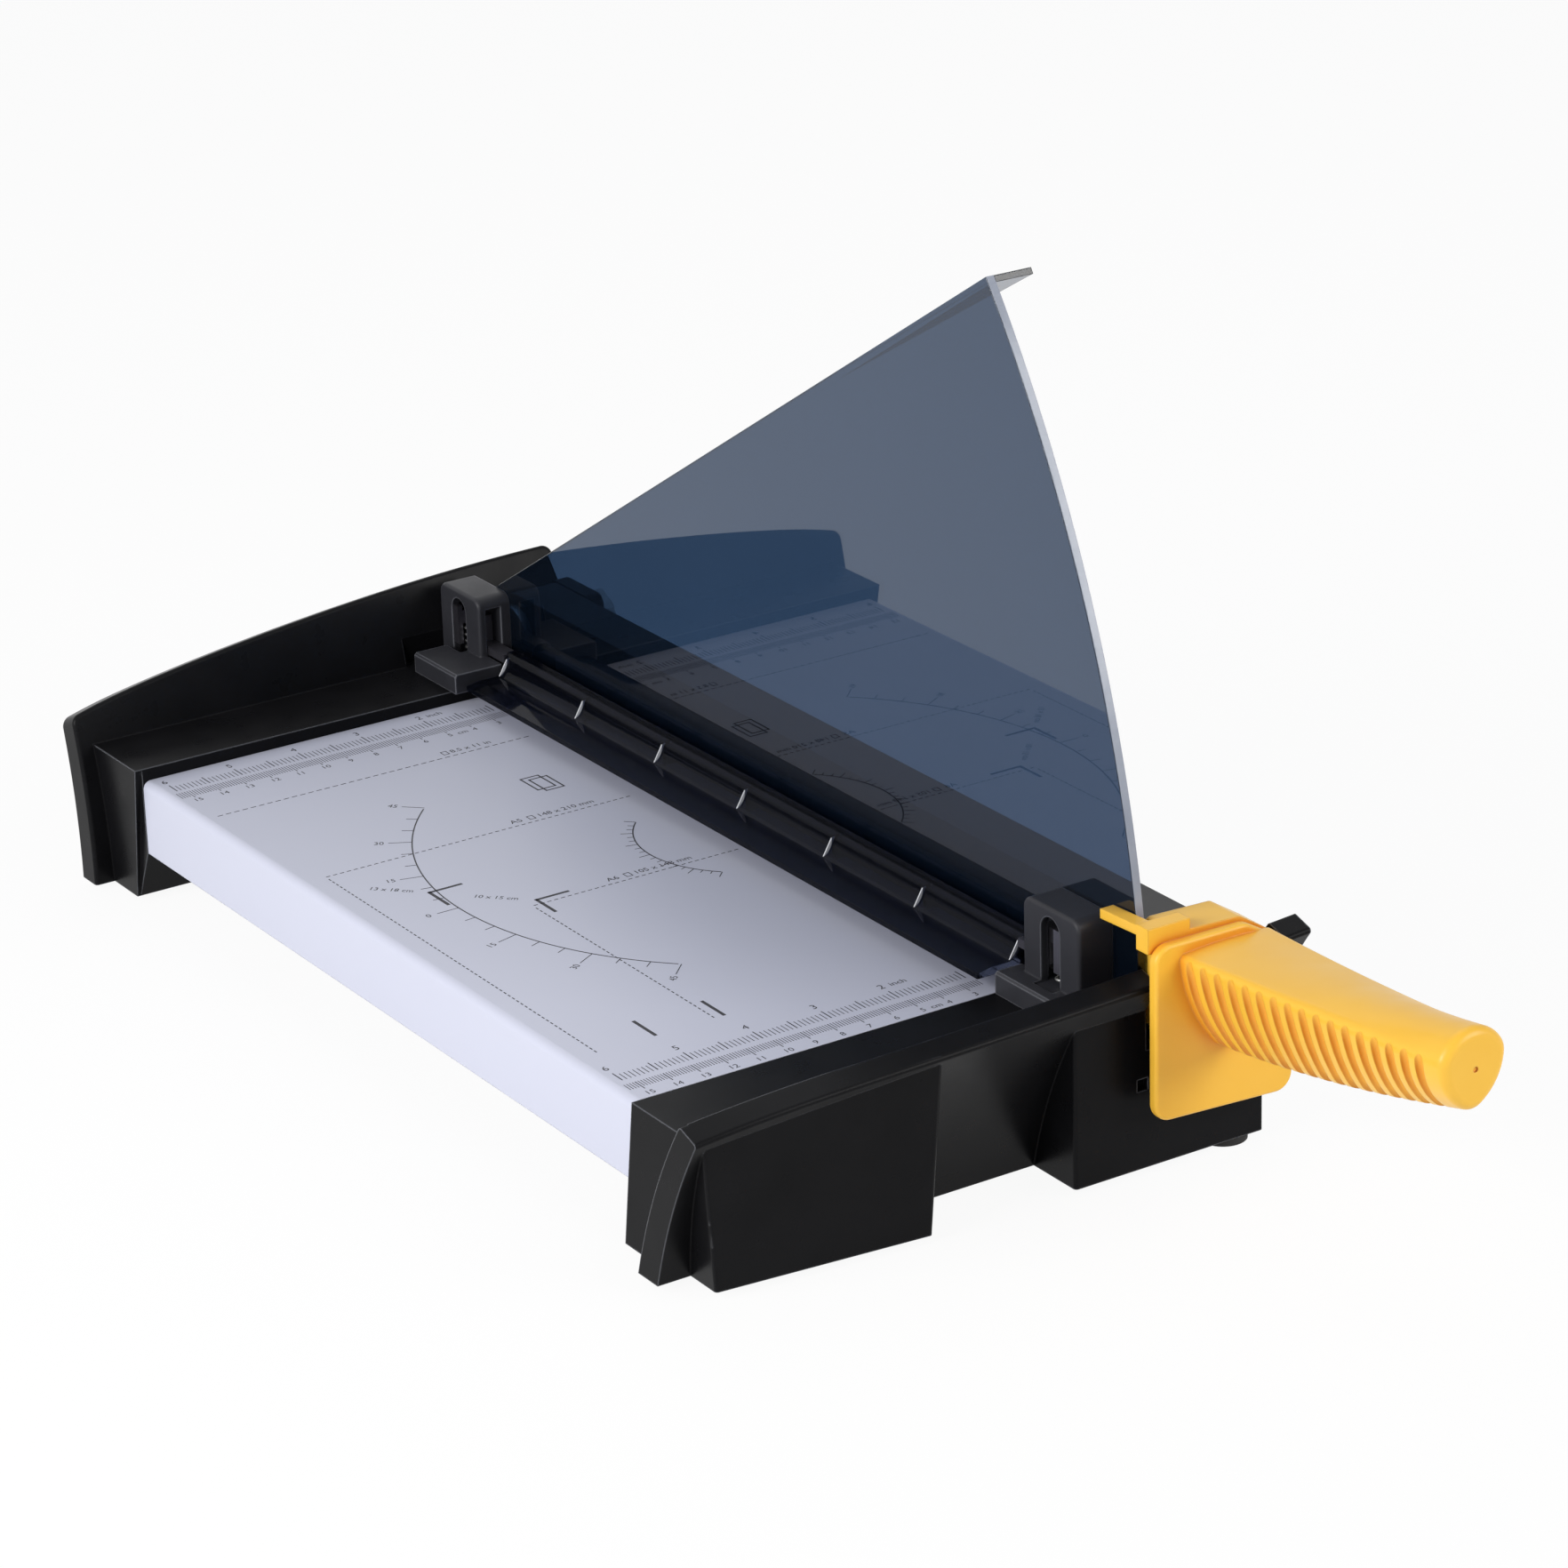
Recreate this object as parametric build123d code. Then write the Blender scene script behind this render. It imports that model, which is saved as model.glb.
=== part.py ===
from build123d import *
import os

# Guillotine paper trimmer. Millimetres, +Z up, +X from the board to the blade, +Y to the pivot.
# While building, X = 0 is the cut plane, Y = 0 the front fence and Z = 0 the table.

# Paper bed
board_length = 324.0
board_width = 158.0
bed_height = 48.5
sheet = 1.5
skirt_depth = 27.0
skirt_round = 3.0
fit_gap = 0.2

# Feet
foot_height = 2.5
foot_radius = 8.0
peg_radius = 3.0
peg_length = 6.0
foot_left_x = -143.0
foot_right_x = 31.0
foot_front_left_y = -10.0
foot_back_y = 30.0
foot_back_left_y = 24.5

# Walls of both end caps: distance out from the fence at the bottom, middle and top
front_wall_outs = (30.0, 40.5, 68.0)
back_wall_outs = (37.2, 39.3, 54.0)
wall_mid_share = 0.7
wall_thickness = 11.0
front_wall_reach = 30.0
back_wall_reach = 38.0
wall_left = -170.0
front_left_trims = (0.0, 2.2)
back_left_trims = (3.2, 3.2)
back_right_trims = (0.0, 17.2)
front_arch_shares = (0.0, 0.112, 0.352, 0.622, 1.0)
front_arch_heights = (10.5, 14.5, 18.0, 20.8, 29.0)
front_arch_slope = 0.31
front_ridge_out = 44.0
back_arch_shares = (0.0, 0.07, 0.16, 0.32, 0.575, 0.82, 1.0)
back_arch_heights = (12.0, 16.3, 20.3, 25.7, 31.9, 35.1, 35.4)
back_arch_slope = 0.42
back_ridge_out = 40.0
wing_right = 51.5
wing_low = 24.0
wing_high = 24.2
back_right = 50.0
back_corner_round = 4.0

# Blocks of the end caps
front_block_left = -162.8
front_block_draft = 4.3
back_block_left = -159.4
back_block_draft = -1.4
back_toe = 8.5
block_right = -1.0
front_block_depth = 21.0
back_block_depth = 27.0
back_fence_height = 4.5
skin = 3.0
pocket_left = -120.0
pocket_right = -5.0
panel_low_xs = (-158.3, -84.5)
panel_low_outs = (44.0, 51.0)
panel_high_xs = (-166.4, -82.3)
panel_high_outs = (52.0, 55.2)
panel_rise = 16.0
box_left = -32.0
box_right = 41.0
box_out = 52.0
box_back_out = 15.0
box_rise = 12.0
box_pocket_right = 18.0
box_roof = 10.0
gap_left = -4.8
gap_right = 42.0
gap_floor_drop = 6.0
notch_width = 4.0
notch_height = 4.0
notch_left = -8.2
notch_drop = 19.4
notch_depth = 2.0
edge_round = 1.2

# Bed rail, lower blade and trough
lower_blade_thickness = 4.0
lower_blade_height = 16.0
rail_width = 10.0
rail_height = 24.0
trough_left = 4.0
trough_floor_drop = 21.0
trough_wall_drop = 8.0
trough_skin = 3.0
trough_back_out = 25.2
trough_screw_in = 9.0

# Fasteners
fastener_gap = 0.05
m4_radius = 2.0
m4_head_radius = 3.8
m4_head_height = 2.4
m4_length = 13.0
m3_radius = 1.5
m3_head_radius = 2.9
m3_head_height = 1.7
m3_length = 9.0
slot_share = 0.22
slot_depth_share = 0.5
lower_screw_count = 5
lower_screw_shares = (0.08, 0.92)
frame_screw_drop = 14.0
board_screw_xs = (-60.0, -110.0)
board_screw_drop = 9.0

# Towers
tower_right = -4.4
tower_left = -17.5
front_tower_near = 5.2
front_tower_far = 34.7
back_tower_near = 6.5
back_tower_far = 34.5
tower_height = 33.6
tower_round = 4.0
front_foot_left = -25.0
front_foot_height = 7.6
front_foot_near = 0.5
front_foot_far = 35.2
back_foot_left = -34.0
back_foot_height = 7.3
back_foot_near = -3.5
back_foot_far = 26.0
foot_bevel = 0.8
slot_width = 10.0
slot_top = 30.5
slot_rib = 2.5
cavity_left = -14.6
cavity_right = -8.4
cavity_depth = 20.5
cavity_top = 29.5
well_floor = 7.0
well_radius = 4.2
tower_screw_in = 6.0
tower_screw_back_in = 9.0

# Clamp
clamp_lift = 5.0
clamp_rest_gap = 0.3
clamp_left = -30.0
clamp_right = -6.5
clamp_edge = 1.9
clamp_bevel = 5.4
clamp_flange = 2.7
clamp_cove_start = -17.5
clamp_cove_end = -13.6
clamp_cove_top = 8.8
clamp_cove_shares = (0.66, 0.3)
clamp_crest = 10.9
clamp_crest_left = -12.2
clamp_shoulder = 2.0
clamp_skin = 2.4
clamp_front_gap = 2.0
clamp_back_gap = 4.5
clamp_rib = 2.0
clamp_rib_count = 7
pillar_x = -11.5
pillar_in = 14.5
pillar_radius = 1.75
pillar_running_gap = 0.03
pillar_seat = 2.0
lug_side_gap = 0.3
lug_arm_low = 12.4
lug_arm_high = 15.4
lug_shoulder = 20.0
lug_top = 25.0
lug_web_near = 5.8
lug_web_far = 10.0
lug_far = 19.0
shoe_near = 15.8
shoe_right = -15.3
shoe_top = 27.0
spring_radius = 3.1
spring_wire_radius = 0.45
spring_turns = 5

# Guard
guard_right = -1.4
guard_low = 9.0
guard_front_screws = ((-24.8, 14.9), (-17.8, 25.5))
guard_back_screws = ((25.5, 14.0), (23.5, 23.5))
guard_tip_y = 28.5
guard_tip_height = 222.2
guard_arc_mid_y = -18.4
guard_arc_mid_height = 137.2
guard_nose_y = -47.3
guard_nose_height = 30.0
guard_heel_out = 29.0
guard_heel_height = 25.7
guard_lip_width = 14.0
guard_lip_length = 100.0
guard_lip_thickness = 2.2

# Arm, blade and pivot
pivot_out = 10.0
pivot_height = 16.0
arm_end_radius = 15.0
arm_width = 18.0
arm_front = -58.0
arm_low = 1.5
arm_skin = 2.2
arm_hollow_share = 0.9
blade_gap = 0.05
blade_thickness = 2.5
blade_front = -8.0
blade_back_gap = 20.0
blade_top = 17.0
blade_depth_front = 11.0
blade_depth_mid = 9.0
blade_depth_back = 2.5
upper_screw_count = 5
upper_screw_shares = (0.08, 0.83)
upper_screw_height = 12.0
bolt_radius = 6.0
bolt_head_radius = 11.0
bolt_head_height = 3.0
bolt_running_gap = 0.03
bush_radius = 8.0
spring_washer_height = 2.0
washer_height = 1.6
washer_radius = 11.0
nut_radius = 9.8
nut_height = 8.0
bolt_tail = 2.0
pivot_play = 0.3
bracket_thickness = 6.0
bracket_near = -7.0
bracket_far = 21.0
bracket_top = 30.0
bracket_foot_width = 8.5
bracket_foot_length = 30.0
bracket_foot_height = 6.0
bracket_screw_shares = (0.75, 0.25)

# Rubber buffer under the arm
buffer_inset = 3.0
buffer_front = -44.0
buffer_back = -33.0
buffer_gap = 0.1
buffer_peg_length = 4.0

# Handle
plate_front = -64.0
plate_thickness = 4.0
plate_outline = ((-10.0, -25.2), (-10.0, 33.2), (25.0, 32.8), (35.6, 26.5), (44.2, -28.0))
plate_round = 6.0
socket_back = -45.0
socket_outline = ((-0.6, -1.5), (-0.6, 35.0), (25.0, 34.0), (37.5, 26.0), (37.5, -1.5))
tongue_left = -10.0
tongue_gap = 0.5
tongue_back = -35.6
tongue_low = 33.9
tongue_high = 37.1
tongue_root_rise = 1.2
bridge_right = 6.0
bridge_back = -54.0
bridge_low = 30.0
grip_center_x = 17.0
grip_ys = (-63.0, -112.0, -181.0)
grip_halves = (18.3, 15.8, 12.0)
grip_heights = (28.8, 30.8, 34.5)
grip_crowns = (29.8, 33.1, 42.8)
grip_mid_halves = (14.2, 11.2, 9.4)
grip_mid_heights = (12.0, 15.0, 23.6)
grip_bottoms = (-8.3, -4.0, 16.2)
grip_top_rounds = (2.0, 3.0, 7.5)
grip_low_rounds = (6.0, 7.0, 6.5)
grip_end_round = 3.0
gate_radius = 0.9
gate_depth = 0.5
groove_count = 17
groove_radius = 1.85
groove_run_out = 1.5
groove_first_y = -68.6
groove_last_y = -170.4
groove_end_share = 0.02
groove_shares = (0.2, 0.4, 0.58, 0.74)
handle_screw_y = -52.0

# Derived places
bottom = foot_height
back_fence = board_length
lift_base = clamp_lift + clamp_rest_gap
rail_right = -lower_blade_thickness
rail_left = rail_right - rail_width
arm_left = blade_gap + blade_thickness
arm_right = arm_left + arm_width
pivot_y = board_length + pivot_out
pivot_z = bed_height + pivot_height
guard_left = tower_right
trough_floor = bed_height - trough_floor_drop
bracket_left = arm_right + pivot_play + spring_washer_height
far_reach = board_length + board_width
whole_reach = far_reach + far_reach


def block(x_pair, y_pair, z_pair):
    sizes = [max(pair) - min(pair) for pair in (x_pair, y_pair, z_pair)]
    solid = Box(*sizes, align=(Align.MIN, Align.MIN, Align.MIN))
    return Pos(min(x_pair), min(y_pair), min(z_pair)) * solid


def rounded_block(x_pair, y_pair, z_pair, radius):
    # Block with its top and standing edges rounded
    solid = block(x_pair, y_pair, z_pair)
    low = solid.edges().group_by(Axis.Z)[0]
    return fillet([edge for edge in solid.edges() if edge not in low], radius)


def slab_along_x(edges, length):
    return extrude(make_face(edges), amount=length, dir=(1, 0, 0))


def outline_along_y(points, y_front, y_back, corner_round):
    face = make_face(Polyline([(x, y_front, z + bed_height) for x, z in points], close=True))
    if corner_round > 0:
        face = fillet(face.vertices(), corner_round)
    return extrude(face, amount=y_back - y_front, dir=(0, 1, 0))


def rod(axis_name, radius, start, length):
    turn = {"x": Rot(0, 90, 0), "y": Rot(-90, 0, 0), "z": Rot(0, 0, 0)}[axis_name]
    low = (Align.CENTER, Align.CENTER, Align.MIN)
    return Pos(*start) * turn * Cylinder(radius, length, align=low)


def pan_screw(place, radius, head_radius, head_height, length):
    # Head stands on the place's plane, shank goes down from it
    up = (Align.CENTER, Align.CENTER, Align.MIN)
    down = (Align.CENTER, Align.CENTER, Align.MAX)
    head = Cylinder(head_radius, head_height, align=up)
    slot = Pos(0, 0, head_height) * Box(
        head_radius + head_radius, head_radius * slot_share, head_height * slot_depth_share, align=down
    )
    return place * (head - slot + Cylinder(radius, length, align=down))


def flush_screw(place, radius, head_radius, head_height, length):
    # Countersunk head level with the place's plane
    down = (Align.CENTER, Align.CENTER, Align.MAX)
    head = Cone(radius, head_radius, head_height, align=down)
    slot = Box(
        head_radius + head_radius, head_radius * slot_share, head_height * slot_depth_share, align=down
    )
    return place * (head + Cylinder(radius, length, align=down) - slot)


def spread(first, last, count):
    return [first + (last - first) * step / (count - 1) for step in range(count)]


def wall_points(fence_y, side, outs, inset, reach):
    heights = (bottom, bed_height * wall_mid_share, bed_height + reach)
    return [(wall_left, fence_y + side * (out - inset), z) for out, z in zip(outs, heights)]


def leaning_wall(fence_y, side, outs, reach, right):
    outer = wall_points(fence_y, side, outs, 0, reach)
    inner = wall_points(fence_y, side, outs, wall_thickness, reach)
    edges = [
        ThreePointArc(*outer),
        ThreePointArc(*inner),
        Line(outer[0], inner[0]),
        Line(outer[-1], inner[-1]),
    ]
    return slab_along_x(edges, right - wall_left)


def inside_wall(fence_y, side, outs, reach, right):
    # Everything between the fence and the wall's inner face
    inner = wall_points(fence_y, side, outs, wall_thickness, reach)
    low = (wall_left, fence_y, bottom)
    high = (wall_left, fence_y, bed_height + reach)
    edges = [ThreePointArc(*inner), Line(inner[0], low), Line(low, high), Line(high, inner[-1])]
    return slab_along_x(edges, right - wall_left)


def wall_block(space, top, left, draft):
    # Solid block of the cap, from the fence to the wall, with a leaning left end
    xs = (min(left, left + draft), block_right)
    solid = space & block(xs, (-far_reach, far_reach), (bottom, top))
    return solid - beyond_end(-1, left, left + draft, top - bed_height)


def back_toe_cuts(top):
    # The block leans back beside the board and below its skirt
    board_left = -board_width - fit_gap
    skirt_low = bed_height - skirt_depth - fit_gap
    cuts = []
    for left, right, high in ((wall_left, board_left, top), (board_left, pocket_left - skin, skirt_low)):
        points = [(left, back_fence, high), (left, back_fence, bottom), (left, back_fence + back_toe, bottom)]
        cuts.append(slab_along_x(Polyline(points, close=True), right - left))
    return cuts


def wall_valley(space, floor):
    # Open space over the block
    return space & block((wall_left, wing_right), (-far_reach, far_reach), (floor, far_reach))


def above_arch(ridge_y, side, arch, right, slope, reach):
    # Everything over the arched top, which falls away to the outside
    shares, heights = arch
    overrun = board_width / 2
    start_y = ridge_y - side * overrun
    xs = [wall_left + share * (right - wall_left) for share in shares]
    zs = [bed_height + height + slope * overrun for height in heights]
    points = [(x, start_y, z) for x, z in zip(xs, zs)]
    sky = bed_height + reach + board_width
    left_top = (points[0][0], start_y, sky)
    right_top = (points[-1][0], start_y, sky)
    edges = [
        Spline(*points),
        Line(points[-1], right_top),
        Line(right_top, left_top),
        Line(left_top, points[0]),
    ]
    return extrude(make_face(edges), amount=board_width, dir=(0, side, -slope))


def beyond_end(side, low_x, high_x, reach):
    # Everything past an end that leans from the table up to the wall's top
    top = bed_height + reach
    away = side * board_width
    corners = [
        (low_x + away, -far_reach, bottom),
        (low_x, -far_reach, bottom),
        (high_x, -far_reach, top),
        (high_x + away, -far_reach, top),
    ]
    face = make_face(Polyline(corners, close=True))
    return extrude(face, amount=whole_reach, dir=(0, 1, 0))


def foot_places():
    return [
        (foot_left_x, foot_front_left_y),
        (foot_right_x, -box_out + foot_radius),
        (foot_left_x, back_fence + foot_back_left_y),
        (foot_right_x, back_fence + foot_back_y),
    ]


def peg_holes():
    radius = peg_radius + fastener_gap
    return [rod("z", radius, (x, y, bottom), peg_length + fit_gap) for x, y in foot_places()]


def rubber_feet():
    up = (Align.CENTER, Align.CENTER, Align.MIN)
    pads = []
    for x, y in foot_places():
        disc = Pos(x, y, 0) * Cylinder(foot_radius, foot_height, align=up)
        pads.append(disc + rod("z", peg_radius, (x, y, foot_height), peg_length))
    return Compound(children=pads)


def base_board():
    right = rail_right - fit_gap
    ys = (fit_gap, board_length - fit_gap)
    tray = block((-board_width, right), ys, (bed_height - skirt_depth, bed_height))
    top_left = tray.edges().filter_by(Axis.Y).sort_by(lambda edge: edge.center().X - edge.center().Z)
    tray = fillet(top_left[:1], skirt_round)
    inner_ys = (ys[0] + sheet, ys[1] - sheet)
    hollow_zs = (bottom, bed_height - sheet)
    tray -= block((-board_width + sheet, right + sheet), inner_ys, hollow_zs)
    tray -= block((rail_left - rail_width, right + sheet), (-sheet, board_length + sheet), hollow_zs)
    for screw_x in board_screw_xs:
        hole_z = bed_height - board_screw_drop
        tray -= rod("y", m4_radius + fastener_gap, (screw_x, -sheet, hole_z), board_length + skirt_depth)
    return tray


def frame_screw_places():
    # Through the fence walls into the rail ends and the board's folded ends
    spots = [(rail_left + rail_width / 2, bed_height - frame_screw_drop)]
    spots += [(x, bed_height - board_screw_drop) for x in board_screw_xs]
    front = [Pos(x, -skin, z) * Rot(90, 0, 0) for x, z in spots]
    back = [Pos(x, back_fence + skin, z) * Rot(-90, 0, 0) for x, z in spots]
    return front + back


def frame_screw_holes():
    radius = m4_radius + fastener_gap
    down = (Align.CENTER, Align.CENTER, Align.MAX)
    return [place * Cylinder(radius, m4_length + fit_gap, align=down) for place in frame_screw_places()]


def frame_screws():
    sizes = (m4_radius, m4_head_radius, m4_head_height, m4_length)
    return Compound(children=[pan_screw(place, *sizes) for place in frame_screw_places()])


def tower_room(left, near, far, side, fence_y, low):
    xs = (left - fit_gap, -fit_gap + tower_right + skin)
    ys = (fence_y + side * (near - fit_gap), fence_y + side * (far + fit_gap))
    return block(xs, ys, (low, far_reach))


def arched_wall(fence_y, side, outs, reach, right, arch, ridge_out, slope, trims):
    wall = leaning_wall(fence_y, side, outs, reach, right)
    wall -= above_arch(fence_y + side * ridge_out, side, arch, right, slope, reach)
    left_trims, right_trims = trims
    wall -= beyond_end(-1, *[wall_left + trim for trim in left_trims], reach)
    if max(right_trims) > 0:
        wall -= beyond_end(1, *[right - trim for trim in right_trims], reach)
        crown = wall.faces().sort_by(Axis.Z)[-1]
        ends = crown.edges().sort_by(Axis.X)
        wall = fillet([ends[0], ends[-1]], back_corner_round)
    long_edges = [edge for edge in wall.edges() if edge.length > board_width]
    return fillet([edge for edge in long_edges if edge.center().Z > bed_height], edge_round)


def panel_outline(xs, outs, z):
    left, right = xs
    corners = [(left, -outs[0], z), (right, -outs[1], z)]
    corners += [(right, -front_block_depth, z), (left, -front_block_depth, z)]
    return make_face(Polyline(corners, close=True))


def front_panel():
    # Raised field of the front wall, wider and further out at its top
    low = panel_outline(panel_low_xs, panel_low_outs, bottom)
    high = panel_outline(panel_high_xs, panel_high_outs, bed_height + panel_rise)
    panel = loft([low, high], ruled=True)
    flat_ends = panel.faces().filter_by(Axis.Z)
    level = [edge for face in flat_ends for edge in face.edges()]
    standing = [edge for edge in panel.edges() if edge not in level]
    front = sorted(standing, key=lambda edge: edge.center().Y)[:2]
    return fillet(front, edge_round)


def front_end_cap():
    arch = (front_arch_shares, front_arch_heights)
    sizes = (front_wall_outs, front_wall_reach, wing_right)
    cap = arched_wall(0, -1, *sizes, arch, front_ridge_out, front_arch_slope, (front_left_trims, (0, 0)))
    over = above_arch(-front_ridge_out, -1, arch, wing_right, front_arch_slope, front_wall_reach)
    space = inside_wall(0, -1, *sizes)
    cap += front_panel() - over - space
    box_ys = (-box_out, -box_back_out)
    cap += rounded_block((box_left, box_right), box_ys, (bottom, bed_height + box_rise), edge_round)
    cap += wall_block(space, bed_height, front_block_left, front_block_draft)
    cap -= wall_valley(space, bed_height)
    gap_floor = bed_height - gap_floor_drop
    cap -= block((gap_left, gap_right), (-far_reach, fit_gap), (gap_floor, far_reach))
    cap -= block((block_right, gap_right), (-box_back_out, fit_gap), (0, far_reach))
    wing_corners = [
        (box_right, 0),
        (wing_right + skin, 0),
        (wing_right + skin, bed_height + wing_high),
        (box_right, bed_height - wing_low),
    ]
    under_wing = make_face(Polyline([(x, -far_reach, z) for x, z in wing_corners], close=True))
    cap -= extrude(under_wing, amount=far_reach, dir=(0, 1, 0))
    roof = bed_height - skin
    cap -= block((pocket_left, pocket_right), (-front_block_depth + skin, -skin), (0, roof))
    cap -= block(
        (panel_low_xs[0] + skin, panel_low_xs[1] - skin),
        (-panel_low_outs[0] + skin, -front_block_depth - skin),
        (0, bed_height * wall_mid_share),
    )
    cap -= block(
        (box_left + skin, box_pocket_right),
        (-box_out + skin, -box_back_out - skin),
        (0, bed_height - box_roof),
    )
    notch_z = bed_height - notch_drop
    cap -= block(
        (notch_left, notch_left + notch_width),
        (-box_out, -box_out + notch_depth),
        (notch_z, notch_z + notch_height),
    )
    cap -= tower_room(front_foot_left, front_foot_near, front_foot_far, -1, 0, bed_height)
    holes = peg_holes() + frame_screw_holes() + tower_screw_holes() + trough_screw_holes()
    for hole in holes + [buffer_peg(fastener_gap)]:
        cap -= hole
    return cap


def back_end_cap():
    arch = (back_arch_shares, back_arch_heights)
    sizes = (back_wall_outs, back_wall_reach, back_right)
    top = (arch, back_ridge_out, back_arch_slope, (back_left_trims, back_right_trims))
    wall = arched_wall(back_fence, 1, *sizes, *top)
    floor = bed_height + back_fence_height
    space = inside_wall(back_fence, 1, *sizes)
    fence = wall_block(space, floor, back_block_left, back_block_draft) - back_toe_cuts(floor)
    cap = wall + fence - wall_valley(space, floor)
    pocket_ys = (back_fence + skin, back_fence + back_block_depth - skin - skin)
    cap -= block((pocket_left, pocket_right), pocket_ys, (0, bed_height))
    low = bed_height + back_fence_height
    cap -= tower_room(back_foot_left, back_foot_near, back_tower_far, 1, back_fence, low)
    for hole in peg_holes() + frame_screw_holes() + tower_screw_holes() + trough_screw_holes():
        cap -= hole
    return cap


def bed_rail():
    ys = (fit_gap, board_length - fit_gap)
    rail = block((rail_left, rail_right), ys, (bed_height - sheet - rail_height, bed_height - sheet))
    for hole in frame_screw_holes():
        rail -= hole
    for place in lower_screw_places():
        rail -= place * Cylinder(
            m4_radius + fastener_gap, m4_length + fit_gap, align=(Align.CENTER, Align.CENTER, Align.MAX)
        )
    return rail


def lower_screw_places():
    ys = spread(*[board_length * share for share in lower_screw_shares], lower_screw_count)
    z = bed_height - lower_blade_height / 2
    return [Pos(0, y, z) * Rot(0, 90, 0) for y in ys]


def lower_blade():
    ys = (fit_gap, board_length - fit_gap)
    blade = block((rail_right, 0), ys, (bed_height - lower_blade_height, bed_height))
    down = (Align.CENTER, Align.CENTER, Align.MAX)
    for place in lower_screw_places():
        blade -= place * Cone(
            m4_radius + fastener_gap, m4_head_radius + fastener_gap, m4_head_height, align=down
        )
        blade -= place * Cylinder(m4_radius + fastener_gap, m4_length, align=down)
    return blade


def lower_blade_screws():
    sizes = (m4_radius, m4_head_radius, m4_head_height, m4_length)
    return Compound(children=[flush_screw(place, *sizes) for place in lower_screw_places()])


def trough_screw_places():
    z = (bottom + trough_floor) / 2
    xs = (trough_left + trough_screw_in, box_right - trough_screw_in)
    front_y = -box_back_out + fit_gap + trough_skin
    back_y = back_fence + trough_back_out - fit_gap - trough_skin
    front = [Pos(x, front_y, z) * Rot(-90, 0, 0) for x in xs]
    return front + [Pos(x, back_y, z) * Rot(90, 0, 0) for x in xs]


def trough_screw_holes():
    down = (Align.CENTER, Align.CENTER, Align.MAX)
    radius = m3_radius + fastener_gap
    return [place * Cylinder(radius, m3_length + fit_gap, align=down) for place in trough_screw_places()]


def trough_screws():
    sizes = (m3_radius, m3_head_radius, m3_head_height, m3_length)
    return Compound(children=[pan_screw(place, *sizes) for place in trough_screw_places()])


def bed_trough():
    xs = (trough_left, box_right)
    ys = (-box_back_out + fit_gap, back_fence + trough_back_out - fit_gap)
    trough = block(xs, ys, (trough_floor - trough_skin, trough_floor))
    wall_xs = (box_right - trough_skin, box_right)
    trough += block(wall_xs, ys, (bottom, bed_height - trough_wall_drop))
    for start, end in ((ys[0], ys[0] + trough_skin), (ys[1] - trough_skin, ys[1])):
        trough += block(xs, (start, end), (bottom, trough_floor))
    for hole in trough_screw_holes() + bracket_screw_holes():
        trough -= hole
    return trough


def tower_screw_places():
    # Up through each block's roof into the tower's foot
    inset = tower_screw_in
    front_y = -(front_tower_near + skin)
    back_y = back_fence + back_block_depth - tower_screw_back_in
    xs = (front_foot_left + inset, back_foot_left + inset)
    front = Pos(xs[0], front_y - inset, bed_height - skin) * Rot(180, 0, 0)
    back = Pos(xs[1], back_y - inset, bed_height) * Rot(180, 0, 0)
    return [front, back]


def tower_screw_holes():
    down = (Align.CENTER, Align.CENTER, Align.MAX)
    radius = m3_radius + fastener_gap
    return [place * Cylinder(radius, m3_length + fit_gap, align=down) for place in tower_screw_places()]


def tower_screws():
    sizes = (m3_radius, m3_head_radius, m3_head_height, m3_length)
    return Compound(children=[pan_screw(place, *sizes) for place in tower_screw_places()])


def arched_slot(center_y):
    rise = slot_width / 2
    straight_top = bed_height + slot_top - rise
    ys = (center_y - rise, center_y + rise)
    xs = (tower_left - skin, cavity_left + slot_rib)
    slot = block(xs, ys, (bed_height + well_floor, straight_top))
    return slot + rod("x", rise, (xs[0], center_y, straight_top), xs[1] - xs[0])


def tower(side, fence_y, near, far, foot):
    foot_left, foot_base, foot_top, foot_near, foot_far = foot

    def out(distance):
        return fence_y + side * distance

    top = bed_height + tower_height
    post = block((tower_left, tower_right), (out(near), out(far)), (foot_base, top))
    upper = post.edges().filter_by(Axis.X).group_by(Axis.Z)[-1]
    post = fillet(upper, tower_round)
    post = fillet(post.faces().sort_by(Axis.X)[0].edges(), edge_round)
    pad = block((foot_left, tower_right), (out(foot_near), out(foot_far)), (foot_base, foot_top))
    left_top = pad.edges().filter_by(Axis.Y).sort_by(lambda edge: edge.center().X - edge.center().Z)
    pad = chamfer(left_top[:1], foot_bevel)
    body = post + pad
    pillar_y = out(near + pillar_in)
    body -= arched_slot(pillar_y)
    room_ys = (out(foot_near - fit_gap) - side * skin, out(near + cavity_depth))
    body -= block((cavity_left, cavity_right), room_ys, (bed_height + well_floor, bed_height + cavity_top))
    well = (pillar_x, pillar_y, bed_height + well_floor)
    body -= rod("z", well_radius, well, cavity_top - well_floor)
    seat = (pillar_x, pillar_y, bed_height + well_floor - pillar_seat)
    body -= rod("z", pillar_radius, seat, pillar_length())
    for hole in tower_screw_holes() + guard_screw_holes():
        body -= hole
    return body


def pillar_length():
    return cavity_top - well_floor + pillar_seat + pillar_seat


def front_tower():
    foot_top = bed_height + front_foot_height
    foot = (front_foot_left, bed_height, foot_top, front_foot_near, front_foot_far)
    return tower(-1, 0, front_tower_near, front_tower_far, foot)


def back_tower():
    base = bed_height + back_fence_height
    foot = (back_foot_left, base, base + back_foot_height, back_foot_near, back_foot_far)
    return tower(1, back_fence, back_tower_near, back_tower_far, foot)


def pillar_ys():
    return (-(front_tower_near + pillar_in), back_fence + back_tower_near + pillar_in)


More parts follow.
